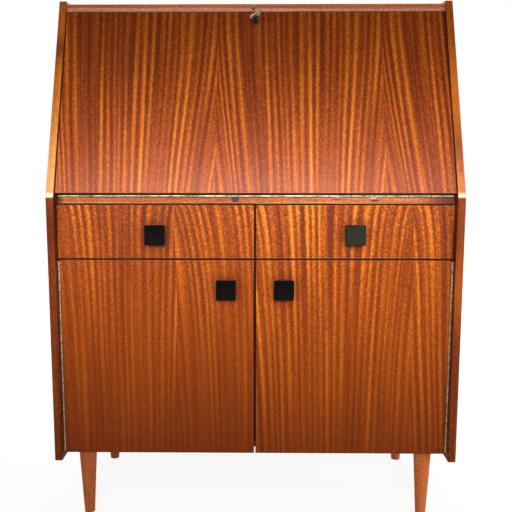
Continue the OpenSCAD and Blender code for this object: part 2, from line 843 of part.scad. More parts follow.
// The plates on the side panels. Each carries a shouldered stud with a head that keeps the stay on.
module stay_studs() {
    shoulder = stay_t / 2 + stay_side_gap;
    color("#b59a5a") both_sides() translate([stay_x, hinge_y, writing_h])
        rotate([-slope - stud_angle, 0, 0]) translate([0, 0, stay_r]) rotate([0, 90, 0]) {
            translate([0, 0, stay_inset - plate_thin]) round_plate(stud_plate_l, stud_plate_w, plate_thin);
            translate([0, 0, shoulder]) cylinder(r = stud_head_r, h = stay_inset - plate_thin - shoulder);
            translate([0, 0, -shoulder]) cylinder(d = stud_d, h = 2 * shoulder);
            translate([0, 0, -shoulder - stud_head_t]) cylinder(r = stud_head_r, h = stud_head_t);
        }
}

// The brackets on the flap: a foot, an ear and the headed pin that the stay's eye turns on.
module stay_brackets() {
    pin_l = ear_t + 2 * stay_side_gap + stay_t;
    color("#b59a5a") both_sides() flap_frame() translate([ear_x, 0, stay_r * cos(pivot_angle)]) {
        board([-bracket_foot, 0, -bracket_l / 2], [ear_t, plate_thin, bracket_l / 2]);
        board([0, 0, -ear_r], [ear_t, stay_off, ear_r]);
        translate([0, stay_off, 0]) rotate([0, 90, 0]) {
            cylinder(r = ear_r, h = ear_t);
            cylinder(d = stay_pin_d, h = pin_l);
            translate([0, 0, pin_l]) cylinder(r = pin_head_r, h = pin_head_t);
        }
    }
}

// ---------------------------------------------------------------- nodes

side_left();
side_right();
side_lipping_left();
side_lipping_right();
top_board();
desk_board();
drawer_board();
drawer_divider();
bottom_board();
back_panel();
cupboard_shelf();
shelf_pins();
drawer_runners();
leg_front_left();
leg_front_right();
leg_back_left();
leg_back_right();
leg_plates();
leg_bolts();
rack_top();
rack_ends();
rack_dividers();
flap_hinge_fixed();
flap_hinge_pin();
door_hinge_fixed_left();
door_hinge_fixed_right();
door_hinge_pins();
stay_studs();
door_catches();
strike_plate();
flap_board();
flap_hinge_leaf();
lock_case();
escutcheon();
stay_brackets();
lock_bolt();
key();
stay_left();
stay_right();
door_left();
door_left_leaf();
door_left_knob();
door_left_keeper();
door_right();
door_right_leaf();
door_right_knob();
door_right_keeper();
left_drawer_front();
left_drawer_sides();
left_drawer_back();
left_drawer_bottom();
left_drawer_knob();
right_drawer_front();
right_drawer_sides();
right_drawer_back();
right_drawer_bottom();
right_drawer_knob();
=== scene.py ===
# %% [markdown]
# # A secretary desk in sapele
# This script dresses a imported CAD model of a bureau: a carcass on turned legs with a sloping flap, two
# drawers and two doors. The CAD pieces keep their shape and place. Here they get their wood, brass and
# plastic, the small screws and nails that hold them, a floor, soft light and a camera.

# %% Load the frame
import json
import math

import bmesh
import bpy
from mathutils import Matrix, Vector


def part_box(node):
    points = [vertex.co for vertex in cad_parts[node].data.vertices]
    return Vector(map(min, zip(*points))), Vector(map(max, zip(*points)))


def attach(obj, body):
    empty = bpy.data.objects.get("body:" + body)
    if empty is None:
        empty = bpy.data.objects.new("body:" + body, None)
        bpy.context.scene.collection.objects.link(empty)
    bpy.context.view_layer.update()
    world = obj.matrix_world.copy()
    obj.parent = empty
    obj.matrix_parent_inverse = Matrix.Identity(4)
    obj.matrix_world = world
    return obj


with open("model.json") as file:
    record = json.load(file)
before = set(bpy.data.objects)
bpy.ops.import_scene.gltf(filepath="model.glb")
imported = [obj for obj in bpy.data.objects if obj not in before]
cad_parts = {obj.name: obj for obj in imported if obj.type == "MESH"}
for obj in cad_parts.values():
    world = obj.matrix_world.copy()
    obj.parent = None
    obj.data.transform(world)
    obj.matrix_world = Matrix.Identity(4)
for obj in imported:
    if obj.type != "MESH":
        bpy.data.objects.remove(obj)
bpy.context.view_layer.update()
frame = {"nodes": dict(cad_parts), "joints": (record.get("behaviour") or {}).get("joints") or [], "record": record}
MM = 0.001
NODES = frame["nodes"]
JOINTS = {joint["name"]: joint for joint in frame["joints"]}
SLOTS = {part["node"]: part["material_slot"] for part in frame["record"]["subparts"]}

# %% [markdown]
# Colours are written the way a paint chart gives them, as sRGB hex. The shaders work in linear light, so
# one function converts every colour on its way in.

# %% Colours
def linear(hex_colour):
    values = [int(hex_colour[i:i + 2], 16) / 255 for i in (1, 3, 5)]
    return tuple(v / 12.92 if v <= 0.04045 else ((v + 0.055) / 1.055) ** 2.4 for v in values) + (1.0,)


print("linear mid grey:", [round(v, 3) for v in linear("#808080")])

# %% [markdown]
# A material is a small tree of nodes. One helper adds any node: it sets the node's properties, fills its
# inputs with numbers, colours or the sockets of earlier nodes, and hands back the new node's output. The
# inputs of a Mix node are picked by number, as several have the same name, and the numbers of the ones
# for colours are named here once.

# %% One helper for nodes
SHARE, FROM, TO = 0, 6, 7
COLOUR_MIX = {"out": 2, "data_type": "RGBA"}


def add_node(tree, kind, inputs=(), out=0, **settings):
    node = tree.nodes.new("ShaderNode" + kind)
    for key, value in settings.items():
        setattr(node, key, value)
    for key, value in inputs.items() if isinstance(inputs, dict) else enumerate(inputs):
        if isinstance(value, bpy.types.NodeSocket):
            tree.links.new(value, node.inputs[key])
        else:
            node.inputs[key].default_value = value
    return node.outputs[out]


print("node helper ready")

# %% [markdown]
# Every surface starts from one Principled shader. What is the same all over is set on the shader itself.
# What varies is linked to it later, which is why its inputs are handed back.

# %% Start of a material
def new_material(name, **shader_values):
    material = bpy.data.materials.new(name)
    material.use_nodes = True
    tree = material.node_tree
    tree.nodes.clear()
    values = {key.replace("_", " "): value for key, value in shader_values.items()}
    surface = add_node(tree, "BsdfPrincipled", values)
    ending = tree.nodes.new("ShaderNodeOutputMaterial")
    tree.links.new(surface, ending.inputs["Surface"])
    return material, tree, surface.node.inputs


print("material helper ready")

# %% [markdown]
# ## The stage
# The desk stands alone before a white ground. The floor is a pale sheet that glows almost white, a little
# less near the desk, so only the soft shadow shows where it is. The lacquer and the brass mirror a dimmer
# floor, or the lower fronts would turn milky.

# %% Floor
FLOOR_HALF = 6.0
FLOOR_DROP = 0.0005
NEAR_M, FAR_M = 0.9, 3.0
FLOOR_NEAR, FLOOR_FAR = 0.86, 0.96
FLOOR_MIRRORED = 0.30


def white_floor():
    material, tree, shader = new_material("stage_paper", Roughness=0.9)
    shader["Base Color"].default_value = linear("#918f8c")
    shader["Emission Color"].default_value = (1, 1, 1, 1)
    path = add_node(tree, "LightPath").node.outputs
    mirrored = add_node(tree, "Math", (path["Is Glossy Ray"], FLOOR_MIRRORED), operation="MULTIPLY")
    place = add_node(tree, "TexCoord", out="Object")
    distance = add_node(tree, "VectorMath", (place,), out="Value", operation="LENGTH")
    seen = add_node(tree, "MapRange", (distance, NEAR_M, FAR_M, FLOOR_NEAR, FLOOR_FAR))
    lift = add_node(tree, "Math", (path["Is Camera Ray"], seen, mirrored), operation="MULTIPLY_ADD")
    tree.links.new(lift, shader["Emission Strength"])
    mesh = bpy.data.meshes.new("stage_floor")
    h = FLOOR_HALF
    mesh.from_pydata([(-h, -h, 0), (h, -h, 0), (h, h, 0), (-h, h, 0)], [], [(0, 1, 2, 3)])
    mesh.materials.append(material)
    floor = bpy.data.objects.new("stage_floor", mesh)
    bpy.context.scene.collection.objects.link(floor)
    floor.location.z = -FLOOR_DROP


white_floor()
print("floor:", 2 * FLOOR_HALF, "m square")

# %% [markdown]
# The camera and the lacquer see a white world round the desk, which itself lights it only faintly. Higher
# up the world falls off to a dim ceiling, as in a real studio, which keeps the upper half of the flap
# deep in colour. Straight overhead a skylight opens again.

# %% World
AMBIENT = 0.18
CEILING, CEILING_HEIGHTS = 0.05, (0.35, 0.72)
SKYLIGHT, SKYLIGHT_HEIGHTS = 0.9, (0.93, 0.97)


def white_world():
    world = bpy.data.worlds.new("stage_world")
    world.use_nodes = True
    bpy.context.scene.world = world
    tree = world.node_tree
    tree.nodes.clear()
    path = add_node(tree, "LightPath").node.outputs
    seen = add_node(tree, "Math", (path["Is Camera Ray"], path["Is Glossy Ray"]), operation="MAXIMUM")
    seen = add_node(tree, "Math", (seen, path["Is Transmission Ray"]), operation="MAXIMUM")
    direction = add_node(tree, "TexCoord", out="Generated")
    height = add_node(tree, "SeparateXYZ", (direction,), out=2)
    ceiling = add_node(tree, "MapRange", (height, *CEILING_HEIGHTS, 1.0, CEILING))
    skylight = add_node(tree, "MapRange", (height, *SKYLIGHT_HEIGHTS, 0.0, SKYLIGHT))
    ceiling = add_node(tree, "Math", (ceiling, skylight), operation="ADD")
    strength = add_node(tree, "MapRange", (seen, 0.0, 1.0, AMBIENT, ceiling))
    background = add_node(tree, "Background", {"Color": (1, 1, 1, 1), "Strength": strength})
    ending = tree.nodes.new("ShaderNodeOutputWorld")
    tree.links.new(background, ending.inputs["Surface"])


white_world()
bpy.context.scene.view_settings.view_transform = "Standard"
print("world ready")

# %% [markdown]
# A wide, low softbox stands in front at breast height, and its soft mirror image lies on the foot of the
# flap, so the gloss grows towards the knee. A strip high above fills the fronts and the top, the right
# side lamp is stronger than the left, and one more lights the back.

# %% Lamps
def soft_lamp(name, place, target, width, height, watts, spread=180.0):
    data = bpy.data.lights.new(name, "AREA")
    data.shape = "RECTANGLE"
    data.size, data.size_y = width, height
    data.energy = watts
    data.spread = math.radians(spread)
    lamp = bpy.data.objects.new(name, data)
    bpy.context.scene.collection.objects.link(lamp)
    lamp.location = place
    lamp.rotation_euler = (Vector(target) - Vector(place)).to_track_quat("-Z", "Y").to_euler()


soft_lamp("front_softbox", (0.0, -2.1, 1.25), (0.0, -0.2, 0.56), 2.2, 0.4, 3.4, spread=31.0)
soft_lamp("high_strip", (0.0, -2.0, 2.16), (0.0, -0.2, 0.70), 2.4, 0.26, 1.75, spread=50.0)
soft_lamp("left_softbox", (-2.2, -1.3, 1.3), (0.0, 0.0, 0.6), 1.0, 1.0, 1.2)
soft_lamp("right_softbox", (2.2, -1.3, 0.8), (0.0, 0.0, 0.4), 1.0, 1.0, 16.0)
soft_lamp("back_softbox", (0.4, 2.4, 1.6), (0.0, 0.0, 0.6), 1.4, 1.0, 9.0)
print("lamps:", [light.name for light in bpy.data.lights])

# %% [markdown]
# The camera stands a little above the writing surface, straight before the desk, and looks slightly down.
# It is turned by less than a degree, and the lens is shifted back by as much.

# %% Camera
SENSOR_MM = 36.0
LENS_MM = 51.9
PITCH = 7.908
YAW = 0.69


def desk_camera():
    data = bpy.data.cameras.new("desk_camera")
    data.sensor_width = SENSOR_MM
    data.lens = LENS_MM
    data.clip_end = 30.0
    data.shift_x = math.tan(math.radians(YAW)) * data.lens / data.sensor_width
    camera = bpy.data.objects.new("desk_camera", data)
    bpy.context.scene.collection.objects.link(camera)
    camera.location = (0.002, -1.7538, 0.8176)
    camera.rotation_euler = (math.radians(90 - PITCH), 0.0, math.radians(YAW))
    bpy.context.scene.camera = camera
    print("camera:", [round(v, 3) for v in camera.location], "lens", round(data.lens, 1))


desk_camera()

# %% [markdown]
# ## Sapele veneer
# Sapele is sawn so that its interlocked grain shows as ribbons: bands a finger wide, bright from one side
# and dark from the other. A laid-on picture of grain would blur close up, so the grain is worked out from
# the place in the wood: it is sharp at any distance and runs on over an edge. It is built on two
# distances, across the grain and along it, and dividing each by its own size stretches the noise.

# %% Noise stretched along the grain
X, Y, Z = 0, 1, 2
NOISE_ROUGHNESS = 0.55


def grain_noise(tree, across, along, wide_mm, long_mm, seed, detail=1.0):
    u = add_node(tree, "Math", (across, 1 / (wide_mm * MM)), operation="MULTIPLY")
    v = add_node(tree, "Math", (along, 1 / (long_mm * MM)), operation="MULTIPLY")
    at = add_node(tree, "CombineXYZ", (u, v, seed))
    settings = {"Vector": at, "Scale": 1.0, "Detail": detail, "Roughness": NOISE_ROUGHNESS}
    return add_node(tree, "TexNoise", settings)


def grain_axes(tree, tilt=0.0):
    where = add_node(tree, "TexCoord", out="Object")
    turned = add_node(tree, "Mapping", {"Vector": where, "Rotation": (tilt, 0.0, 0.0)})
    return add_node(tree, "SeparateXYZ", (turned,)).node.outputs


print("grain helpers ready")

# %% [markdown]
# The sheets are slip matched: leaves cut one after another from the same log lie side by side, so the same
# figure comes back a little changed. In every leaf the ribbons draw together going down, and where two
# leaves meet they form long arrows. A leaf is given by where a joint lies (seam), its width, where in it
# the ribbons stay upright, how much they are squeezed at the bottom, over which length and how that
# bends. Fade and quiet weaken the figure below and above. The bottom shade is painted shade that darkens
# the lower part of a leaf, and rise is a painted sheen that pales one half of a leaf towards its foot and
# darkens the other half a little.

# %% Leaves of veneer
LEAF_CHANGE = 0.13
OPENS = (0.08, 0.40)
FOOT_SHEEN_DEPTHS = (0.15, 0.70)
SHEEN_FROM, SHEEN_TO = 0.42, 0.58
NEAR_HALF = 0.6


def leaf_layout(tree, across, along, seam, leaf, upright, squeeze, top, length, bend, fade, bottom_shade,
                quiet=1.0, rise=0.0):
    from_seam = add_node(tree, "Math", (across, seam), operation="SUBTRACT")
    in_leaf = add_node(tree, "Math", (from_seam, leaf), operation="FLOORED_MODULO")
    number = add_node(tree, "Math", (from_seam, leaf), operation="DIVIDE")
    number = add_node(tree, "Math", (number,), operation="FLOOR")
    distance = add_node(tree, "Math", (in_leaf, upright), operation="SUBTRACT")
    down = add_node(tree, "MapRange", (along, top, top - length, 0.0, 1.0))
    growth = add_node(tree, "Math", (down, bend), operation="POWER")
    factor = add_node(tree, "Math", (growth, squeeze, 1.0), operation="MULTIPLY_ADD")
    place = add_node(tree, "Math", (distance, factor), operation="MULTIPLY")
    opening = add_node(tree, "MapRange", (down, *OPENS, quiet, 1.0))
    strength = add_node(tree, "MapRange", (growth, 0.0, 1.0, 1.0, 1.0 - fade))
    strength = add_node(tree, "Math", (strength, opening), operation="MULTIPLY")
    # Painted shade: the leaf darkens towards its bottom.
    darker = add_node(tree, "Math", (down, 3.0), operation="POWER")
    middle = add_node(tree, "Math", (darker, -bottom_shade, 0.5), operation="MULTIPLY_ADD")
    # Painted sheen: towards the foot, one half of the leaf gets paler and the other a little darker.
    if rise:
        ends = (SHEEN_FROM * leaf, SHEEN_TO * leaf)
        leaf_sheen = add_node(tree, "MapRange", (in_leaf, *ends, -NEAR_HALF * rise, rise))
        deep = add_node(tree, "MapRange", (down, *FOOT_SHEEN_DEPTHS, 0.0, 1.0))
        middle = add_node(tree, "Math", (leaf_sheen, deep, middle), operation="MULTIPLY_ADD")
    change = add_node(tree, "Math", (number, LEAF_CHANGE), operation="MULTIPLY")
    return place, change, strength, middle


print("leaf layout ready")

# %% [markdown]
# The ribbons come back at a fairly even pace, so they start from a sine wave. Slow noise pushes the wave
# sideways and makes some ribbons fainter, and a second noise adds lines between them. Fine noise shifts
# every place first, which frays the ribbons' edges as short fibres do. In the tone that comes out, 0.5 is
# the middle of the wood's colours, and more is brighter.

# %% Ribbons
FRAY_MM = 2.7
DRIFT_TURNS = 11.0
CREST_POWER = 1.1
RIBBON_SHARE, LINE_SHARE = 0.34, 0.62
MEAN_RIBBON = 0.29


def ribbon_tone(tree, across, along, pace_mm, seed, even):
    fray = grain_noise(tree, across, along, 2.4, 7, 5.5)
    place = add_node(tree, "Math", (fray, FRAY_MM * MM, across), operation="MULTIPLY_ADD")
    drift = grain_noise(tree, place, along, 3.1 * pace_mm, 1400, seed, 0.0)
    phase = add_node(tree, "Math", (drift, DRIFT_TURNS), operation="MULTIPLY")
    turns = add_node(tree, "Math", (place, 2 * math.pi / (pace_mm * MM), phase), operation="MULTIPLY_ADD")
    wave = add_node(tree, "Math", (turns,), operation="SINE")
    wave = add_node(tree, "Math", (wave, 0.5, 0.5), operation="MULTIPLY_ADD")
    crest = add_node(tree, "Math", (wave, CREST_POWER), operation="POWER")
    swell = grain_noise(tree, place, along, 1.9 * pace_mm, 500, seed, 0.0)
    swell = add_node(tree, "MapRange", (swell, 0.25, 0.70, 0.25 * even, 1.0 * even))
    ribbons = add_node(tree, "Math", (crest, swell), operation="MULTIPLY")
    lines = grain_noise(tree, place, along, pace_mm / 2.2, 420, seed, 1.0)
    base = 0.5 - RIBBON_SHARE * MEAN_RIBBON * even - 0.5 * LINE_SHARE
    tone = add_node(tree, "Math", (ribbons, RIBBON_SHARE, base), operation="MULTIPLY_ADD")
    return add_node(tree, "Math", (lines, LINE_SHARE, tone), operation="MULTIPLY_ADD")


print("ribbon helper ready")

# %% [markdown]
# Grain is never quite straight, so a wide slow wave bends it first. A board that shows two neighbouring
# faces needs grain on both, so a third axis may lean into the distance across. Last come flecks 3 mm
# wide, the ends of fibres, and the contrast of this board.

# %% Figure of a board
LEAN = 0.7
BEND_MM = 14
FLECK_MM = (2.8, 5.0)


def board_tone(tree, position, axes, across, pace_mm, seed, leaf, even, fleck, contrast):
    along = position[axes[1]]
    if len(axes) > 2:
        across = add_node(tree, "Math", (position[axes[2]], LEAN, across), operation="MULTIPLY_ADD")
    wave = grain_noise(tree, across, along, 300, 500, seed + 7.3)
    across = add_node(tree, "Math", (wave, BEND_MM * MM, across), operation="MULTIPLY_ADD")
    leaf_seed, strength, middle = seed, 1.0, 0.5
    if leaf:
        across, leaf_seed, strength, middle = leaf_layout(tree, across, along, **leaf)
        leaf_seed = add_node(tree, "Math", (leaf_seed, seed), operation="ADD")
    tone = ribbon_tone(tree, across, along, pace_mm, leaf_seed, even)
    mottle = grain_noise(tree, across, along, *FLECK_MM, 3.7)
    tone = add_node(tree, "Math", (mottle, fleck, tone), operation="MULTIPLY_ADD")
    tone = add_node(tree, "Math", (tone, 0.5 + 0.5 * fleck), operation="SUBTRACT")
    tone = add_node(tree, "Math", (tone, contrast), operation="MULTIPLY")
    tone = add_node(tree, "Math", (tone, strength, middle), operation="MULTIPLY_ADD")
    return tone, across, along


print("figure helper ready")

# %% [markdown]
# A ramp turns the tone into colour, from the dark side of a ribbon to its bright side. The boards came
# from different sheets: the lippings of the slope are paler than those below, and the lower half of the
# top's front edge gets a pale pink ramp, a painted highlight where that edge catches the light.

# %% Ramps from tone to colour
RIBBON = [(0.20, "#6d2500"), (0.38, "#873300"), (0.48, "#9d4300"), (0.60, "#c25c04"), (0.80, "#f08a20")]
RIBBON_FLAP = [(0.20, "#6d2300"), (0.38, "#873000"), (0.48, "#9d4000"), (0.60, "#c25902"),
               (0.80, "#f0871c")]
RIBBON_RIGHT = [(0.20, "#6e2500"), (0.38, "#8a3500"), (0.48, "#a14600"), (0.60, "#c75f05"),
                (0.80, "#f49024")]
STRAIGHT = [(0.25, "#853200"), (0.45, "#a04508"), (0.60, "#b65814"), (0.80, "#cc7028")]
LIPPING = [(0.25, "#6a2502"), (0.45, "#7e3206"), (0.60, "#92400c"), (0.80, "#a85012")]
TOP_FACE = [(0.25, "#96400e"), (0.45, "#b4561c"), (0.60, "#ca6a2a"), (0.80, "#dc8440")]
# Pale pink: a painted highlight on the lower half of the top's front edge.
TOP_EDGE_HIGHLIGHT = [(0.25, "#b46448"), (0.45, "#ca7c5e"), (0.60, "#da9270"), (0.80, "#e8a88a")]
# Near black: painted shade for the board edges seen in the gaps between the fronts.
GAP_SHADE_RAMP = [(0.25, "#220904"), (0.45, "#2c0d05"), (0.60, "#361207"), (0.80, "#40180a")]
RAIL_LIPPING = [(0.25, "#9c4c1c"), (0.45, "#b8642c"), (0.60, "#ce7c42"), (0.80, "#e29860")]
SLOPE_LIPPING_LEFT = [(0.25, "#b85204"), (0.45, "#d26a0c"), (0.60, "#e67e18"), (0.80, "#f69830")]
SLOPE_LIPPING_RIGHT = [(0.25, "#a64803"), (0.45, "#bc5d0a"), (0.60, "#cf6f15"), (0.80, "#e0862a")]


def tone_colour(tree, tone, stops):
    ramp = add_node(tree, "ValToRGB", (tone,)).node
    for index, (at, colour) in enumerate(stops):
        stop = ramp.color_ramp.elements[index] if index < 2 else ramp.color_ramp.elements.new(at)
        stop.position, stop.color = at, linear(colour)
    return ramp.outputs[0]


print("darkest ribbon:", RIBBON[0][1], "brightest:", RIBBON[-1][1])

# %% [markdown]
# One board often shows two finishes: a rail has a paler lipping on its front edge. The same split also
# paints light and shade: a painted highlight on the lower half of the top's edge, painted shade on the
# board edges behind the gaps, and paler right legs for the light that falls on them. The second finish lies
# wherever the distance along a direction passes a limit, and has its own ramp and share of clear coat.

# %% A second finish, or painted light and shade, on the same board
def second_finish_and_light(tree, tone, colour, coat, direction, limit, stops, other_coat):
    where = add_node(tree, "TexCoord", out="Object")
    reach = add_node(tree, "VectorMath", (where, direction), out="Value", operation="DOT_PRODUCT")
    there = add_node(tree, "Math", (reach, limit), operation="GREATER_THAN")
    other = tone_colour(tree, tone, stops)
    colour = add_node(tree, "Mix", {SHARE: there, FROM: colour, TO: other}, **COLOUR_MIX)
    return colour, add_node(tree, "MapRange", (there, 0.0, 1.0, coat, other_coat))


print("second finish ready")

# %% [markdown]
# The lipping of a side leans back above the knee, and its grain follows that bend. Just above the knee a
# painted sheen pales it towards yellow, and the knee itself gets a painted highlight, nearly white.

# %% The lipping's bend and the painted light at its knee
SLOPE = math.radians(JOINTS["flap_fall"]["range_deg"][1] - 90)
HINGE = Vector(JOINTS["flap_fall"]["pos_m"])
KNEE_SHEEN_ENDS = (HINGE.z + 0.10, HINGE.z + 0.24)
KNEE_HIGHLIGHT_SPAN = (HINGE.z + 4 * MM, HINGE.z + 10 * MM)
KNEE_HIGHLIGHT_SHARE = 0.75


def front_depth(tree, position):
    over_knee = add_node(tree, "Math", (position[Z], HINGE.z), operation="SUBTRACT")
    over_knee = add_node(tree, "Math", (over_knee, 0.0), operation="MAXIMUM")
    return add_node(tree, "Math", (over_knee, -math.tan(SLOPE), position[Y]), operation="MULTIPLY_ADD")


def painted_knee_light(tree, position, colour, knee_sheen):
    over = add_node(tree, "MapRange", (position[Z], HINGE.z - 3 * MM, HINGE.z - 1 * MM, 0.0, 1.0))
    # Painted sheen, pale yellow, just above the knee.
    sheen_share = add_node(tree, "MapRange", (position[Z], *KNEE_SHEEN_ENDS, knee_sheen, 0.0))
    sheen_share = add_node(tree, "Math", (sheen_share, over), operation="MULTIPLY")
    # Painted highlight, nearly white, on the knee itself.
    highlight_share = add_node(tree, "MapRange", (position[Z], *KNEE_HIGHLIGHT_SPAN, KNEE_HIGHLIGHT_SHARE, 0.0))
    highlight_share = add_node(tree, "Math", (highlight_share, over), operation="MULTIPLY")
    colour = add_node(tree, "Mix", {SHARE: sheen_share, FROM: colour, TO: linear("#f8e490")}, **COLOUR_MIX)
    return add_node(tree, "Mix", {SHARE: highlight_share, FROM: colour, TO: linear("#fbe0c4")}, **COLOUR_MIX)


print("slope:", round(math.degrees(SLOPE), 2), "degrees, knee at", round(HINGE.z, 3), "m")

# %% [markdown]
# Bruises, chips and darkened patches make an old desk look used, and the same marks also paint shade and
# shadow: at the ends of the rail, under the chips, round the knobs and on the key. Each is an ellipsoid of
# another colour, given by its middle and half sizes in millimetres, how far its full colour reaches, and
# the colour.

# %% Marks
MARK_SHARE = 0.9
MARK_RIM = 1.05


def marked(tree, colour, marks):
    where = add_node(tree, "TexCoord", out="Object")
    for middle, size, core, paint in marks:
        off = add_node(tree, "VectorMath", (where, [v * MM for v in middle]), operation="SUBTRACT")
        off = add_node(tree, "VectorMath", (off, [1 / (v * MM) for v in size]), operation="MULTIPLY")
        off = add_node(tree, "VectorMath", (off,), out="Value", operation="LENGTH")
        share = add_node(tree, "MapRange", (off, core, MARK_RIM, MARK_SHARE, 0.0))
        colour = add_node(tree, "Mix", {SHARE: share, FROM: colour, TO: linear(paint)}, **COLOUR_MIX)
    return colour


print("mark helper ready")

# %% [markdown]
# The edges of a veneered panel have no polish, and they are painted nearly black: painted shade that makes
# the gaps between the fronts read as dark, crisp lines. Just inside the top and bottom edges runs a faint
# painted highlight, a pale line where the arris catches the light.

# %% Edges of a panel: painted shade and a painted highlight
ARRIS_HIGHLIGHT = 0.28
ARRIS_HIGHLIGHT_ENDS = (1.4 * MM, 2.0 * MM)
EDGE_SHADE_SHARE = 0.95
EDGE_SOFT_MM = 0.2


def shaded_panel_edges(tree, position, colour, coat, low_x, high_x, low_z, high_z, dark_mm=0.5):
    to_edge = []
    for axis, low, high in ((X, low_x, high_x), (Z, low_z, high_z)):
        off_middle = add_node(tree, "Math", (position[axis], (low + high) / 2), operation="SUBTRACT")
        off_middle = add_node(tree, "Math", (off_middle,), operation="ABSOLUTE")
        to_edge.append(add_node(tree, "Math", ((high - low) / 2, off_middle), operation="SUBTRACT"))
    nearest = add_node(tree, "Math", to_edge, operation="MINIMUM")
    line = add_node(tree, "MapRange", (to_edge[1], *ARRIS_HIGHLIGHT_ENDS, ARRIS_HIGHLIGHT, 0.0))
    dark_from = (dark_mm - EDGE_SOFT_MM) * MM
    edge = add_node(tree, "MapRange", (nearest, dark_from, dark_mm * MM, EDGE_SHADE_SHARE, 0.0))
    # Painted highlight: a pale line just inside the top and bottom edges.
    colour = add_node(tree, "Mix", {SHARE: line, FROM: colour, TO: linear("#bd7550")}, **COLOUR_MIX)
    # Painted shade: the edges nearly black, for the dark gaps between the fronts.
    colour = add_node(tree, "Mix", {SHARE: edge, FROM: colour, TO: linear("#301008")}, **COLOUR_MIX)
    return colour, add_node(tree, "MapRange", (edge, 0.0, EDGE_SHADE_SHARE, coat, 0.0))


print("edge helper ready")

# %% [markdown]
# The inner faces of the two sides were never polished, so they are matt, and they get painted shade: the
# tint multiplies the colour wherever the wood is no further out than the inner face. The left tint is
# darker, as less light reaches the left inner face than the right one.

# %% Painted shade on the inner faces
INNER_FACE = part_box("side_right")[0].x
# Tints of the painted shade: darker on the left, lighter on the right.
INNER_SHADE_LEFT = (0.48, 0.36, 0.26, 1.0)
INNER_SHADE_RIGHT = (0.75, 0.60, 0.40, 1.0)


def inner_face_shade(tree, position, colour, coat, tint):
    off_middle = add_node(tree, "Math", (position[X],), operation="ABSOLUTE")
    within = add_node(tree, "MapRange", (off_middle, INNER_FACE, INNER_FACE + 0.3 * MM, 1.0, 0.0))
    tinted = {SHARE: within, FROM: colour, TO: tint}
    colour = add_node(tree, "Mix", tinted, blend_type="MULTIPLY", **COLOUR_MIX)
    return colour, add_node(tree, "MapRange", (within, 0.0, 1.0, coat, 0.0))


print("inner faces from x =", round(INNER_FACE, 4), "m")

# %% [markdown]
# Pores are fine dark dashes along the grain, drawn coarser than the real ones so that they show at all.
# Nicks are the few pale chips where the veneer caught on something, at the middles of a cell pattern.

# %% Pores and nicks
PORE_MM = (1.5, 6.0)
PORE_EDGE, PORE_SHADE = (0.58, 0.70), 0.74
NICK_PACE, NICK_EDGE = 0.21, (0.006, 0.010)


def pores_of(tree, across, along, colour):
    pores = grain_noise(tree, across, along, *PORE_MM, 9.7)
    pores = add_node(tree, "MapRange", (pores, *PORE_EDGE, 1.0, PORE_SHADE))
    shaded = {SHARE: 1.0, FROM: colour, TO: pores}
    return add_node(tree, "Mix", shaded, blend_type="MULTIPLY", **COLOUR_MIX), pores


def nicked(tree, position, axes, colour, seed, nicks):
    where = add_node(tree, "CombineXYZ", (position[axes[0]], position[axes[1]], seed))
    near = add_node(tree, "TexVoronoi", {"Vector": where, "Scale": 1 / NICK_PACE})
    nick = add_node(tree, "MapRange", (near, *NICK_EDGE, nicks, 0.0))
    return add_node(tree, "Mix", {SHARE: nick, FROM: colour, TO: linear("#eab07a")}, **COLOUR_MIX)


print("pore helper ready")

# %% [markdown]
# The finish is a satin nitrocellulose lacquer: a clear coat that mirrors softly. Under it the fibres
# themselves shine in the colour of the wood, which is the lustre that makes sapele glow, so the shader
# has a small metallic share. Pace is the distance between ribbons, even is the strength of their wave,
# and gloss is the roughness of the coat. Edges and inner faces have no coat, so there it is linked.

# %% Lacquered wood
WOOD_ROUGHNESS = 0.40
LACQUER_IOR = 1.8
FIBRE_SHINE = 0.15
PORE_DEPTH = 0.0003


def wood(name, stops, pace_mm, seed, axes, leaf=None, contrast=1.0, even=1.0, fleck=0.62,
         lustre=0.30, coat=0.12, gloss=0.28, tilt=0.0, nicks=0.0,
         second=None, inside=None, edged=None, knee_sheen=None, marks=()):
    material, tree, shader = new_material(name, Roughness=WOOD_ROUGHNESS, Metallic=lustre,
                                          Specular_IOR_Level=FIBRE_SHINE, Coat_Weight=coat,
                                          Coat_Roughness=gloss, Coat_IOR=LACQUER_IOR)
    position = grain_axes(tree, tilt)
    across = position[axes[0]] if knee_sheen is None else front_depth(tree, position)
    tone, across, along = board_tone(tree, position, axes, across, pace_mm, seed, leaf, even, fleck,
                                     contrast)
    colour = tone_colour(tree, tone, stops)
    if second:
        colour, coat = second_finish_and_light(tree, tone, colour, coat, *second)
    if knee_sheen is not None:
        colour = painted_knee_light(tree, position, colour, knee_sheen)
    colour = marked(tree, colour, marks)
    if edged:
        colour, coat = shaded_panel_edges(tree, position, colour, coat, *edged)
    if inside:
        colour, coat = inner_face_shade(tree, position, colour, coat, inside)
    if isinstance(coat, bpy.types.NodeSocket):
        tree.links.new(coat, shader["Coat Weight"])
    colour, pores = pores_of(tree, across, along, colour)
    if nicks:
        colour = nicked(tree, position, axes, colour, seed, nicks)
    tree.links.new(colour, shader["Base Color"])
    bump = add_node(tree, "Bump", {"Strength": 0.04, "Distance": PORE_DEPTH, "Height": pores})
    tree.links.new(bump, shader["Normal"])
    return material


print("lacquered wood ready")

# %% [markdown]
# The grain of the flap, and the places of its upper and lower edges, are measured along the slope. People
# see it first, so it was polished best, with more coat and less fleck.

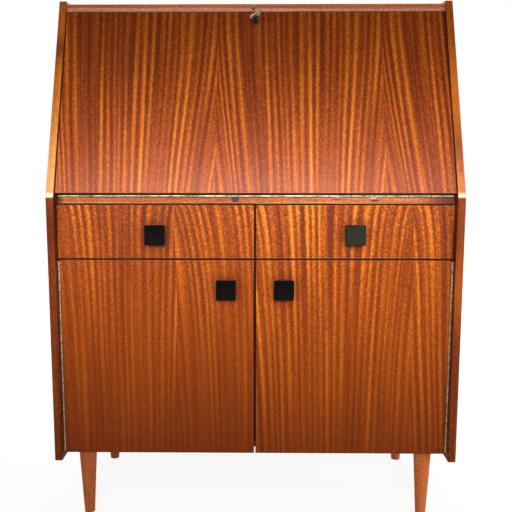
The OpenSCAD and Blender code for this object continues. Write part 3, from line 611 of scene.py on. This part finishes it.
# %% Veneer of the flap
WOODS = {}
FRONT_GRAIN = (X, Z)
FLAP_LOW, FLAP_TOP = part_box("flap_board")
FLAP_T = 16 * MM
HINGE_ALONG = HINGE.y * math.sin(SLOPE) + HINGE.z * math.cos(SLOPE)
FLAP_FOOT_ALONG = HINGE_ALONG + (FLAP_LOW.z - HINGE.z) / math.cos(SLOPE)
FLAP_TOP_ALONG = HINGE_ALONG + (FLAP_TOP.z - HINGE.z - FLAP_T * math.sin(SLOPE)) / math.cos(SLOPE)
# Its rise paints a sheen on the foot of the flap, paler in one half of each leaf.
FLAP_LEAF = {"seam": -0.075, "leaf": 0.363, "upright": 0.180, "squeeze": 0.30, "top": FLAP_TOP_ALONG,
             "length": 0.43, "bend": 1.5, "fade": 0.3, "bottom_shade": 0.0, "quiet": 0.72, "rise": 0.05}
# The flap's edges get the painted shade of the gaps round it.
WOODS["flap"] = wood("sapele_veneer_flap", RIBBON_FLAP, 17.5, 4.0, FRONT_GRAIN, FLAP_LEAF,
                     fleck=0.55, lustre=0.36, coat=0.215, gloss=0.22, tilt=SLOPE,
                     edged=(FLAP_LOW.x, FLAP_TOP.x, FLAP_FOOT_ALONG, FLAP_TOP_ALONG))
print("flap edges along the slope:", round(FLAP_FOOT_ALONG, 3), round(FLAP_TOP_ALONG, 3), "m")

# %% [markdown]
# Each drawer front and the door under it are cut from one sheet, so they share a leaf layout and a seed,
# and the figure runs on over the gap. The right pair is a little brighter and livelier. Round every knob
# the veneer gets a painted shade, where the knob shades it.

# %% Veneer of the drawers and the doors
FRONT_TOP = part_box("left_drawer_front")[1].z
# The bottom shade paints these fronts darker towards the floor.
LEFT_LEAF = {"seam": -0.162, "leaf": 0.351, "upright": 0.226, "squeeze": 0.32, "top": FRONT_TOP,
             "length": 0.56, "bend": 0.55, "fade": 0.8, "bottom_shade": 0.10}
RIGHT_LEAF = {**LEFT_LEAF, "seam": 0.346, "upright": 0.170, "fade": 0.75}
SHEETS = {"left": (RIBBON, 11.0, LEFT_LEAF, 1.15), "right": (RIBBON_RIGHT, 17.0, RIGHT_LEAF, 1.3)}
KNOB_SHADE_SIZE = (44, 6, 41)
FRONT_EDGE_SHADE_MM = 1.1
for word, (stops, seed, leaf, contrast) in SHEETS.items():
    for name in (f"{word}_drawer_front", f"door_{word}"):
        low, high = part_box(name)
        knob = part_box(name.removesuffix("_front") + "_knob")
        knob_x, knob_z = [sum(corner[axis] for corner in knob) / 2 / MM for axis in (X, Z)]
        # A painted shade round each knob, where the knob shades the veneer.
        knob_shade = [((knob_x + 3, low.y / MM, knob_z), KNOB_SHADE_SIZE, 0.0, "#5a1c04")]
        # The fronts' edges get the painted shade of the gaps and the painted highlight inside them.
        WOODS[name] = wood(f"sapele_veneer_{name}", stops, 18.5, seed, FRONT_GRAIN, leaf, contrast=contrast,
                           nicks=0.8, edged=(low.x, high.x, low.z, high.z, FRONT_EDGE_SHADE_MM), marks=knob_shade)
print("woods so far:", sorted(WOODS))

# %% [markdown]
# Upright boards have upright grain. Level boards are cut from plainer sheets, with grain from side to side
# and almost no ribbons. The drawer board and the drawers' divider show only their front edges in the gaps
# between the fronts; these edges are painted near black and dull, a painted shade for the gaps.

# %% Veneer of the carcass
UPRIGHT_GRAIN = (Y, Z, X)
LEVEL_GRAIN = (Y, X, Z)
GAP_SHADE_AT = -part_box("drawer_board")[0].y - 0.8 * MM
# Painted shade on the front edges behind the gaps.
GAP_SHADE_FRONT = {"second": ((0, -1, 0), GAP_SHADE_AT, GAP_SHADE_RAMP, 0.0)}
UPRIGHTS = {"upright": (23.0, {}), "side_left": (23.0, {"inside": INNER_SHADE_LEFT}),
            "side_right": (23.0, {"inside": INNER_SHADE_RIGHT}), "divider": (47.0, GAP_SHADE_FRONT)}
LEVELS = {"level": (31.0, {}), "shelf": (43.0, GAP_SHADE_FRONT)}
for name, (seed, more) in UPRIGHTS.items():
    WOODS[name] = wood(f"sapele_veneer_{name}", RIBBON, 20, seed, UPRIGHT_GRAIN, contrast=0.8,
                       even=0.6, **more)
for name, (seed, more) in LEVELS.items():
    WOODS[name] = wood(f"sapele_veneer_{name}", STRAIGHT, 11, seed, LEVEL_GRAIN, even=0.3, **more)
print("carcass woods:", sorted(UPRIGHTS) + sorted(LEVELS))

# %% [markdown]
# The desk board's front edge is the rail under the flap. It and the top board have solid lippings that
# have taken knocks: a bruise in the middle of the rail, and two pale chips, each with a painted shadow
# under it. Above the key the top's edge has a dark mark. The ends of the rail get painted shadow, where
# the side lippings stand forward of it.

# %% Veneer and marks of the rail and the top
RAIL_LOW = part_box("desk_board")[0]
RAIL_Y = RAIL_LOW.y / MM
EDGE_AT = -RAIL_LOW.y - 0.4 * MM
# The first two are painted shadow at the ends of the rail; then a bruise, and two pale chips, each over a painted
# shadow.
RAIL_KNOCKS_AND_SHADOW = [((425, RAIL_Y, 720), (75, 4, 30), 0.35, "#6c2408"),
              ((-424, RAIL_Y, 720), (17, 4, 30), 0.35, "#541e08"),
              ((-43, RAIL_Y, 720.5), (10, 4, 7.5), 0.6, "#3c1006"),
              ((173, RAIL_Y, 721.5), (9, 4, 3.5), 0.4, "#7a3414"),
              ((175, RAIL_Y, 726.0), (7, 4, 3.4), 0.6, "#fff0da"),
              ((253, RAIL_Y, 718.5), (12, 4, 5), 0.4, "#6a2410"),
              ((251.5, RAIL_Y, 725.0), (8.5, 4, 4.2), 0.6, "#ffeac0")]
TOP_LOW, TOP_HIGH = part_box("top_board")
TOP_HIGHLIGHT_AT = -TOP_LOW.y - (TOP_LOW.z + TOP_HIGH.z) / 2
TOP_MARKS = [((-5, TOP_LOW.y / MM, 1138), (6.0, 4, 4.2), 0.5, "#401206")]
WOODS["rail"] = wood("sapele_veneer_desk", STRAIGHT, 11, 37.0, LEVEL_GRAIN, even=0.3, marks=RAIL_KNOCKS_AND_SHADOW,
                     second=((0, -1, 0), EDGE_AT, RAIL_LIPPING, 0.2))
# The lower half of the top's front edge gets a painted highlight, pale pink.
WOODS["top"] = wood("sapele_veneer_top", TOP_FACE, 11, 31.0, LEVEL_GRAIN, even=0.3, marks=TOP_MARKS,
                    second=((0, -1, -1), TOP_HIGHLIGHT_AT, TOP_EDGE_HIGHLIGHT, 0.2))
print("marks:", len(RAIL_KNOCKS_AND_SHADOW), "on the rail,", len(TOP_MARKS), "on the top")

# %% [markdown]
# The solid lippings of the sides have finer grain than veneer and a stronger lustre. The left one has a
# painted sheen above the knee, the right one is darker, and both get the painted highlight on the knee and
# a few lighter or darker patches.

# %% Lippings of the sides
LIPPING_SIDES = {
    "left": (SLOPE_LIPPING_LEFT, 0.5, INNER_SHADE_LEFT, 0.18,
             [((-432, -80, 1047), (40, 40, 40), 0.2, "#984808"),
              ((-432, -208, 662), (40, 30, 72), 0.3, "#642604")]),
    "right": (SLOPE_LIPPING_RIGHT, 0.4, INNER_SHADE_RIGHT, 0.0,
              [((432, -113, 965), (40, 90, 130), 0.0, "#ea7e1c"),
               ((432, -167, 830), (40, 50, 75), 0.1, "#98480a"),
               ((432, -208, 523), (40, 30, 110), 0.1, "#b0560e")]),
}
KNEE_AT = HINGE.z - 1.5 * MM
for side, (stops, slope_coat, tint, knee_sheen, marks) in LIPPING_SIDES.items():
    WOODS[f"side_lipping_{side}"] = wood(
        f"sapele_lipping_{side}", LIPPING, 8, 41.0, UPRIGHT_GRAIN, even=0.2, lustre=0.5, gloss=0.20,
        second=((0, 0, 1), KNEE_AT, stops, slope_coat), inside=tint, knee_sheen=knee_sheen, marks=marks)
print("lippings:", sorted(LIPPING_SIDES), "change at", round(KNEE_AT, 4), "m")

# %% [markdown]
# The legs are turned from beech and stained to go with the sapele. Stain evens out the figure, so only
# fine upright lines are left, and the finish is duller. The right legs are painted paler than the left, for
# the stronger light that falls on them from the right.

# %% Stained beech
STAINED = [(0.30, "#bc5a2a"), (0.50, "#d87238"), (0.70, "#e88c4e")]
# Paler ramp: painted light on the right legs.
STAINED_LIT_RIGHT = [(0.30, "#ee7032"), (0.50, "#ff8a46"), (0.70, "#ffa666")]
WOODS["leg"] = wood("stained_beech", STAINED, 6, 51.0, (X, Z, Y), contrast=0.7, even=0.2, lustre=0.35,
                    gloss=0.35, second=((1, 0, 0), 0.0, STAINED_LIT_RIGHT, 0.12))
print("leg wood:", WOODS["leg"].name)

# %% [markdown]
# ## Inside woods
# Drawer sides and runners are plain beech: pale, with short fine flecks. Drawer bottoms are birch
# plywood, whose rotary-cut face shows wide soft waves. Neither is lacquered, so they are matt.

# %% Beech and birch
BEECH = [(0.30, "#b98d5f"), (0.50, "#cba173"), (0.70, "#d8b288")]
BIRCH = [(0.30, "#c6a070"), (0.50, "#d6b485"), (0.72, "#e0c49a")]
WOODS["beech"] = wood("plain_beech", BEECH, 9, 61.0, (Z, Y, X), contrast=0.6, even=0.1, lustre=0.0, coat=0.0)
WOODS["birch_ply"] = wood("birch_plywood", BIRCH, 46, 71.0, (X, Y), contrast=0.7, even=0.2, lustre=0.0,
                          coat=0.0)
print("inside woods:", WOODS["beech"].name, WOODS["birch_ply"].name)

# %% [markdown]
# ## Other materials
# A piano hinge collects grime in the joints between its knuckles, which come back at an even pitch along
# the pin, and in the hollow beside the barrel. The barrel itself stays bright from handling.

# %% Grime in the joints of a hinge
JOINT_EDGE = (0.6 * MM, 1.1 * MM)
BARREL_EDGE = (2.7 * MM, 3.0 * MM)
HOLLOW = (3.0 * MM, 5.5 * MM)


def knuckle_grime(tree, where, start, along, pitch_mm):
    across = tuple(1 - v for v in along)
    from_start = add_node(tree, "VectorMath", (where, tuple(start)), operation="SUBTRACT")
    run = add_node(tree, "VectorMath", (from_start, along), out="Value", operation="DOT_PRODUCT")
    to_joint = add_node(tree, "Math", (run, 0.5 * pitch_mm * MM), operation="PINGPONG")
    joint = add_node(tree, "MapRange", (to_joint, *JOINT_EDGE, 1.0, 0.0))
    beside = add_node(tree, "VectorMath", (from_start, across), operation="MULTIPLY")
    radius = add_node(tree, "VectorMath", (beside,), out="Value", operation="LENGTH")
    on_barrel = add_node(tree, "MapRange", (radius, *BARREL_EDGE, 1.0, 0.0))
    hollow = add_node(tree, "MapRange", (radius, *HOLLOW, 1.0, 0.0))
    hollow = add_node(tree, "Math", (hollow, on_barrel), operation="SUBTRACT")
    joint = add_node(tree, "Math", (joint, on_barrel), operation="MULTIPLY")
    return add_node(tree, "Math", (joint, hollow), operation="MAXIMUM")


print("grime helper ready")

# %% [markdown]
# The other materials are one base colour, broken up by noise that mixes in a second one with its own
# roughness. The patch size is a real size: 3 mm fibre bundles in hardboard, 20 mm clouds of tarnish on
# brass, 8 mm crystals of zinc.

# %% A material with two colours
GRIME = "#2a1a10"
PATCH_EDGE = (0.42, 0.62)


def patchy(name, colour, second, patch_mm, rough, rough_second, bump=0.0, stretch=(1, 1, 1), grime=None,
           marks=(), **shader_values):
    material, tree, shader = new_material(name, **shader_values)
    where = add_node(tree, "TexCoord", out="Object")
    sized = add_node(tree, "Mapping", {"Vector": where, "Scale": [v / (patch_mm * MM) for v in stretch]})
    noise = add_node(tree, "TexNoise", {"Vector": sized, "Scale": 1.0, "Detail": 3.0, "Roughness": 0.6})
    share = add_node(tree, "MapRange", (noise, *PATCH_EDGE, 0.0, 1.0))
    mixed = {SHARE: share, FROM: linear(colour), TO: linear(second)}
    mixed = add_node(tree, "Mix", mixed, **COLOUR_MIX)
    if grime:
        dirty = knuckle_grime(tree, where, *grime)
        mixed = add_node(tree, "Mix", {SHARE: dirty, FROM: mixed, TO: linear(GRIME)}, **COLOUR_MIX)
    mixed = marked(tree, mixed, marks)
    tree.links.new(mixed, shader["Base Color"])
    roughness = add_node(tree, "MapRange", (noise, *PATCH_EDGE, rough, rough_second))
    tree.links.new(roughness, shader["Roughness"])
    if bump:
        lift = add_node(tree, "Bump", {"Strength": 0.35, "Distance": bump * MM, "Height": noise})
        tree.links.new(lift, shader["Normal"])
    return material


print("two-colour helper ready")

# %% Plastic, board and metals
OTHERS = {
    # Moulded phenolic: near black, with a satin skin that shows a soft line of light on its rims.
    "black_plastic": patchy("moulded_phenolic", "#0a0908", "#0f0e0c", 4, 0.30, 0.42, 0.02,
                            Specular_IOR_Level=0.05),
    # Hardboard: pressed wood fibre, brown and dull, with flecks of longer fibres.
    "hardboard": patchy("hardboard", "#7b5232", "#5e3b22", 3, 0.80, 0.90, 0.15, stretch=(1, 1, 0.5)),
    # Bright zinc plating: pale cool grey in faint cloudy crystals.
    "zinc_steel": patchy("zinc_plated_steel", "#b4b7ba", "#9a9ea3", 8, 0.30, 0.42, Metallic=1.0),
    # Injection-moulded catch housings: brown polystyrene, a little shiny.
    "brown_plastic": patchy("brown_polystyrene", "#4b2d1a", "#3f2514", 5, 0.38, 0.48, 0.02),
    # A lock plate of darkened bronze, rubbed paler in places.
    "dark_bronze": patchy("darkened_bronze", "#3a3226", "#5a4a36", 5, 0.35, 0.50, 0.03, Metallic=0.9),
    # Rolled brass, lacquered and slightly tarnished: warm and bright, with browner clouds.
    "brass": patchy("lacquered_brass", "#d8c18c", "#b59a63", 20, 0.26, 0.38, Metallic=1.0),
}
print("other materials:", sorted(OTHERS))

# %% [markdown]
# The three piano hinges are rolled brass. The flap's has gone brownish, and the doors' are brighter, as
# they are touched less. Each gives its grime the start of its pin, its direction and its knuckles' pitch.

# %% Brass of the hinges
OLD_BRASS = ("#cfbd9c", "#a48c6c", 20, 0.30, 0.42)
BRIGHT_BRASS = ("#f0dab8", "#c4a884", 20, 0.30, 0.42)
FLAP_HINGE_LONG, FLAP_KNUCKLES = 842, 35
DOOR_HINGE_LONG, DOOR_KNUCKLES = 428, 19
start = (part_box("flap_hinge_fixed")[0].x, HINGE.y, HINGE.z)
flap_brass = patchy("flap_hinge_brass", *OLD_BRASS, Metallic=1.0,
                    grime=(start, (1, 0, 0), FLAP_HINGE_LONG / FLAP_KNUCKLES))
BY_NODE = {"flap_hinge_fixed": flap_brass, "flap_hinge_leaf": flap_brass}
for word in ("left", "right"):
    pin = JOINTS[f"{word}_door_swing"]["pos_m"]
    start = (pin[0], pin[1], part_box(f"door_hinge_fixed_{word}")[0].z)
    brass = patchy(f"{word}_door_hinge_brass", *BRIGHT_BRASS, Metallic=1.0,
                   grime=(start, (0, 0, 1), DOOR_HINGE_LONG / DOOR_KNUCKLES))
    BY_NODE[f"door_hinge_fixed_{word}"] = BY_NODE[f"door_{word}_leaf"] = brass
print("hinge brass:", sorted(BY_NODE))

# %% [markdown]
# The right drawer's knob is rubbed grey where the others are still black. The key is plain pale brass, and
# painted shade darkens the near side of its bow and the shank, so only the outer side of the bow stays bright.

# %% The rubbed knob and the key
# Painted shade on the near side of the bow and on the shank.
KEY_SHADE = [((0, -50, 1111.5), (14, 19, 9), 0.8, "#2a2212"),
             ((2, -64, 1115.5), (14, 8.5, 6), 0.7, "#4a3c1c")]
BY_NODE["right_drawer_knob"] = patchy("rubbed_phenolic", "#31322a", "#2a2b24", 4, 0.40, 0.50, 0.02,
                                      Specular_IOR_Level=0.05)
BY_NODE["key"] = patchy("key_brass", "#fff8dc", "#fff0c4", 6, 0.30, 0.40, marks=KEY_SHADE, Metallic=0.60)
print("finishes for single nodes:", len(BY_NODE))

# %% [markdown]
# Each CAD piece gets one finish: its own, else the one of its slot in the record, else the wood of its
# board. A board that is named nowhere has upright grain.

# %% Dress the CAD nodes
BY_SLOT = {"turned_leg": "leg", "beech": "beech", "birch_ply": "birch_ply"}
VENEERED = {"flap_board": "flap", "desk_board": "rail", "top_board": "top", "drawer_board": "shelf",
            "drawer_divider": "divider", "bottom_board": "level", "cupboard_shelf": "level",
            "rack_top": "level"}


def finish_of(name):
    slot = SLOTS[name]
    if name in BY_NODE:
        return BY_NODE[name]
    if slot in OTHERS:
        return OTHERS[slot]
    if name in WOODS:
        return WOODS[name]
    return WOODS[BY_SLOT.get(slot) or VENEERED.get(name, "upright")]


for name, piece in NODES.items():
    piece.data.materials.clear()
    piece.data.materials.append(finish_of(name))
print("dressed:", len(NODES))

# %% [markdown]
# Nobody leaves a sharp arris on furniture. A bevel modifier takes it off without touching the CAD mesh:
# half a millimetre or so on wood, a hair on metal. The small flat catches the light as a thin line.

# %% Arrises
ARRIS_MM = {"sapele_veneer": 0.6, "sapele_lipping": 0.9, "turned_leg": 0.6, "beech": 0.5, "birch_ply": 0.2,
            "hardboard": 0.3, "black_plastic": 0.7, "brown_plastic": 0.6, "dark_bronze": 0.35}
METAL_ARRIS_MM = 0.15
ARRIS_STEPS = 2
SHARPEST_KEPT = 40
NO_ARRIS = ("hinge", "leaf", "pin", "bolt")

for name, piece in NODES.items():
    if any(word in name for word in NO_ARRIS):
        continue
    bevel = piece.modifiers.new("arris", "BEVEL")
    bevel.width = ARRIS_MM.get(SLOTS[name], METAL_ARRIS_MM) * MM
    bevel.segments = ARRIS_STEPS
    bevel.limit_method = "ANGLE"
    bevel.angle_limit = math.radians(SHARPEST_KEPT)
    bevel.harden_normals = False
print("pieces with a bevel:", sum(len(piece.modifiers) for piece in NODES.values()))

# %% [markdown]
# ## Screws
# A countersunk screw shows only its slotted head. Each head is two half discs with a chamfer, and a sunk
# bar between them for the bottom of the slot, which gives clean faces without cutting anything.

# %% Rings and blocks
def close_rings(mesh, rings):
    mesh.faces.new(rings[0][::-1])
    mesh.faces.new(rings[-1])
    count = len(rings[0])
    for low, high in zip(rings, rings[1:]):
        for k in range(count):
            n = (k + 1) % count
            mesh.faces.new((low[k], low[n], high[n], high[k]))


def block(mesh, place, low, high):
    corners = [mesh.verts.new(place @ Vector((x, y, z))) for x in (low[0], high[0])
               for y in (low[1], high[1]) for z in (low[2], high[2])]
    for a, b, c, d in ((0, 1, 3, 2), (4, 6, 7, 5), (0, 4, 5, 1), (2, 3, 7, 6), (0, 2, 6, 4), (1, 5, 7, 3)):
        mesh.faces.new((corners[a], corners[b], corners[c], corners[d]))


print("ring and block helpers ready")

# %% [markdown]
# Every screw of a row is turned by a different angle, as they are when driven home by hand.

# %% A slotted head
HALF_STEPS = 8
CHAMFER = 0.84
SLOT_SHARE = 0.17
SUNK = 0.4 * MM
TURN_PER_SCREW = 2.4


def half_disc(mesh, place, radius, slot, bottom, shoulder, top):
    start = math.asin(slot / radius)
    sweep = math.pi - 2 * start
    angles = [start + sweep * k / HALF_STEPS for k in range(HALF_STEPS + 1)]
    rings = [[mesh.verts.new(place @ Vector((r * math.cos(a), max(r * math.sin(a), slot), z)))
              for a in angles]
             for r, z in ((radius, bottom), (radius, shoulder), (CHAMFER * radius, top))]
    close_rings(mesh, rings)


def slotted_head(mesh, place, radius_mm, proud_mm, number):
    r, proud, slot = radius_mm * MM, proud_mm * MM, SLOT_SHARE * radius_mm * MM
    turn = Matrix.Rotation(number * TURN_PER_SCREW, 4, "Z")
    for half in (0.0, math.pi):
        half_disc(mesh, place @ turn @ Matrix.Rotation(half, 4, "Z"), r, slot, -SUNK, 0.4 * proud, proud)
    block(mesh, place @ turn, (-0.97 * r, -1.02 * slot, -SUNK), (0.97 * r, 1.02 * slot, 0.25 * proud))


print("screw head ready")

# %% [markdown]
# Pins and panel nails have a plain domed head: four rings, the upper ones narrower.

# %% A round pin head
ROUND_STEPS = 12
DOME = ((1.0, None), (1.0, 0.25), (0.75, 0.8), (0.35, 1.0))
PIN_SUNK_MM = 0.3


def round_head(mesh, place, radius_mm, proud_mm, number):
    rings = []
    for share, rise in DOME:
        r = share * radius_mm * MM
        height = -PIN_SUNK_MM if rise is None else rise * proud_mm
        angles = [2 * math.pi * k / ROUND_STEPS for k in range(ROUND_STEPS)]
        rings.append([mesh.verts.new(place @ Vector((r * math.cos(a), r * math.sin(a), height * MM)))
                      for a in angles])
    close_rings(mesh, rings)


print("pin head ready")

# %% [markdown]
# All heads that look alike and move together are one piece. It rides on its body, so it goes along when
# a door opens, and takes the finish of a slot in the record.

# %% Pieces made of many small parts
def small_piece(name, body, slot, mesh):
    bmesh.ops.recalc_face_normals(mesh, faces=mesh.faces)
    data = bpy.data.meshes.new(name)
    mesh.to_mesh(data)
    mesh.free()
    data.materials.append(OTHERS[slot])
    piece = bpy.data.objects.new(name, data)
    bpy.context.scene.collection.objects.link(piece)
    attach(piece, body)


def fixings(name, body, slot, head, radius_mm, proud_mm, places):
    mesh = bmesh.new()
    for number, place in enumerate(places):
        head(mesh, place, radius_mm, proud_mm, number)
    small_piece(name, body, slot, mesh)
    print(name, "on", body, "heads:", len(places))


def facing(point_mm, normal):
    turn = Vector(normal).to_track_quat("Z", "Y").to_matrix().to_4x4()
    return Matrix.Translation(Vector(point_mm) * MM) @ turn


print("fixings ready")

# %% [markdown]
# The flap's piano hinge has a screw at every second knuckle in both leaves. The moving leaf lies on the
# flap, so its screws are placed in the flap's own frame: x across, y out of the inner face, z up the slope.

# %% Screws of the flap hinge
FLAP_FRAME = Matrix.Translation(HINGE) @ Matrix.Rotation(-SLOPE, 4, "X")
HINGE_SCREWS = 17
HINGE_PITCH = 48.2
LEAF_MIDDLE = 9.2
HINGE_X = [(k - (HINGE_SCREWS - 1) / 2) * HINGE_PITCH for k in range(HINGE_SCREWS)]
hinge_y, hinge_z = HINGE.y / MM, HINGE.z / MM
fixings("flap_hinge_screws_fixed", "carcass", "brass", slotted_head, 2.4, 0.15,
        [facing((x, hinge_y + LEAF_MIDDLE, hinge_z), (0, 0, 1)) for x in HINGE_X])
fixings("flap_hinge_screws_moving", "flap", "brass", slotted_head, 2.4, 0.15,
        [FLAP_FRAME @ facing((x, 0, LEAF_MIDDLE), (0, 1, 0)) for x in HINGE_X])

# %% [markdown]
# The door hinges have nine screws in each leaf, one leaf on the side panel and one on the door's edge.
# Left and right are mirror images, so a sign in front of x makes both.

# %% Screws of the door hinges
SIDES = ((-1, "left"), (1, "right"))
DOOR_SCREWS = 9
DOOR_HINGE_FOOT = 161
DOOR_LEAF_Y = -179.5
FIXED_LEAF_X, MOVING_LEAF_X = 423.1, 421.0
DOOR_SCREW_Z = [DOOR_HINGE_FOOT + DOOR_HINGE_LONG * (k + 0.5) / DOOR_SCREWS for k in range(DOOR_SCREWS)]
for side, word in SIDES:
    fixings(f"door_hinge_screws_fixed_{word}", "carcass", "brass", slotted_head, 2.0, 0.15,
            [facing((side * FIXED_LEAF_X, DOOR_LEAF_Y, z), (-side, 0, 0)) for z in DOOR_SCREW_Z])
    fixings(f"door_hinge_screws_moving_{word}", f"{word}_door", "brass", slotted_head, 2.0, 0.15,
            [facing((side * MOVING_LEAF_X, DOOR_LEAF_Y, z), (side, 0, 0)) for z in DOOR_SCREW_Z])

# %% [markdown]
# The lock case and the stays' brackets are screwed to the flap's inner face, the stays' plates to the side
# panels, and the strike plate to the underside of the top board. The stays' plates lean ten degrees more
# than the slope.

# %% Screws of the lock and the stays
LOCK_SCREWS = [(x, 0, z) for x in (-22, 22) for z in (398.5, 421.5)]
BRACKET_SCREWS = [(side * 406.2, 1.5, 179.3 + dz) for side, word in SIDES for dz in (-12.5, 12.5)]
fixings("lock_screws", "flap", "brass", slotted_head, 2.6, 0.2,
        [FLAP_FRAME @ facing(point, (0, 1, 0)) for point in LOCK_SCREWS])
fixings("bracket_screws", "flap", "brass", slotted_head, 2.5, 0.4,
        [FLAP_FRAME @ facing(point, (0, 1, 0)) for point in BRACKET_SCREWS])
fixings("strike_screws", "carcass", "brass", slotted_head, 2.4, 0.2,
        [facing((x, -24.2, 1133.0), (0, 0, -1)) for x in (-17.5, 17.5)])
STUD_Y, STUD_Z = -88.93, 880.75
STUD_LEAN = SLOPE + math.radians(10)
STUD_LINE = [(STUD_Y + reach * math.sin(STUD_LEAN), STUD_Z + reach * math.cos(STUD_LEAN))
             for reach in (-14.5, 14.5)]
fixings("stud_plate_screws", "carcass", "brass", slotted_head, 2.8, 0.5,
        [facing((side * 422.5, y, z), (-side, 0, 0)) for side, word in SIDES for y, z in STUD_LINE])

# %% [markdown]
# Four brass pins hold the lock plate. The knobs are drawn up by a screw from inside, whose head shows on
# the back of each door and drawer front. Panel pins fix the hardboard back to the boards.

# %% Pins and knob screws
PLATE_PINS = [(x, -17.5, 405.5 + dz) for x in (-6.3, 6.3) for dz in (-6.3, 6.3)]
BEHIND_FRONT = -172.0
fixings("lock_plate_pins", "flap", "brass", round_head, 0.9, 0.45,
        [FLAP_FRAME @ facing(point, (0, -1, 0)) for point in PLATE_PINS])
for side, word in SIDES:
    for part, x, z in (("door", 62.0, 529.0), ("drawer", 212.3, 647.0)):
        fixings(f"knob_screw_{word}_{part}", f"{word}_{part}", "zinc_steel", slotted_head, 4.0, 1.6,
                [facing((side * x, BEHIND_FRONT, z), (0, 1, 0))])
BACK_Y = 212.0
BACK_ROWS = [(-424 + 848 * k / 10, z) for z in (174, 593, 720, 1141) for k in range(11)]
BACK_HEIGHTS = (232, 304, 376, 448, 520, 656, 790, 860, 930, 1000, 1070)
BACK_SIDES = [(x, z) for x in (-428, 428) for z in BACK_HEIGHTS]
fixings("back_panel_pins", "carcass", "zinc_steel", round_head, 1.6, 0.25,
        [facing((x, BACK_Y, z), (0, 1, 0)) for x, z in BACK_ROWS + BACK_SIDES])

# %% [markdown]
# The magnetic catches show two steel pole strips on the face that meets the door's keeper, and a pair of
# screws underneath. The keepers are held by one flush screw at each end.

# %% Catches
CATCH_X = 42
POLE_HALF = 12
POLE_Y = (-170.62, -170.3)
POLE_Z = (575.6, 580.6)
POLE_THICK = 1.4


def strips(name, body, slot, boxes):
    mesh = bmesh.new()
    for low, high in boxes:
        block(mesh, Matrix.Identity(4), [v * MM for v in low], [v * MM for v in high])
    small_piece(name, body, slot, mesh)
    print(name, "on", body, "strips:", len(boxes))


strips("catch_poles", "carcass", "zinc_steel",
       [((side * CATCH_X - POLE_HALF, POLE_Y[0], z), (side * CATCH_X + POLE_HALF, POLE_Y[1], z + POLE_THICK))
        for side, word in SIDES for z in POLE_Z])
fixings("catch_screws", "carcass", "zinc_steel", slotted_head, 2.2, 0.4,
        [facing((side * x, -163.5, 573.0), (0, 0, -1)) for side, word in SIDES for x in (29, 55)])
for side, word in SIDES:
    fixings(f"keeper_screws_{word}", f"{word}_door", "zinc_steel", slotted_head, 2.0, 0.1,
            [facing((side * x, -170.8, 578.0), (0, 1, 0)) for x in (28, 56)])
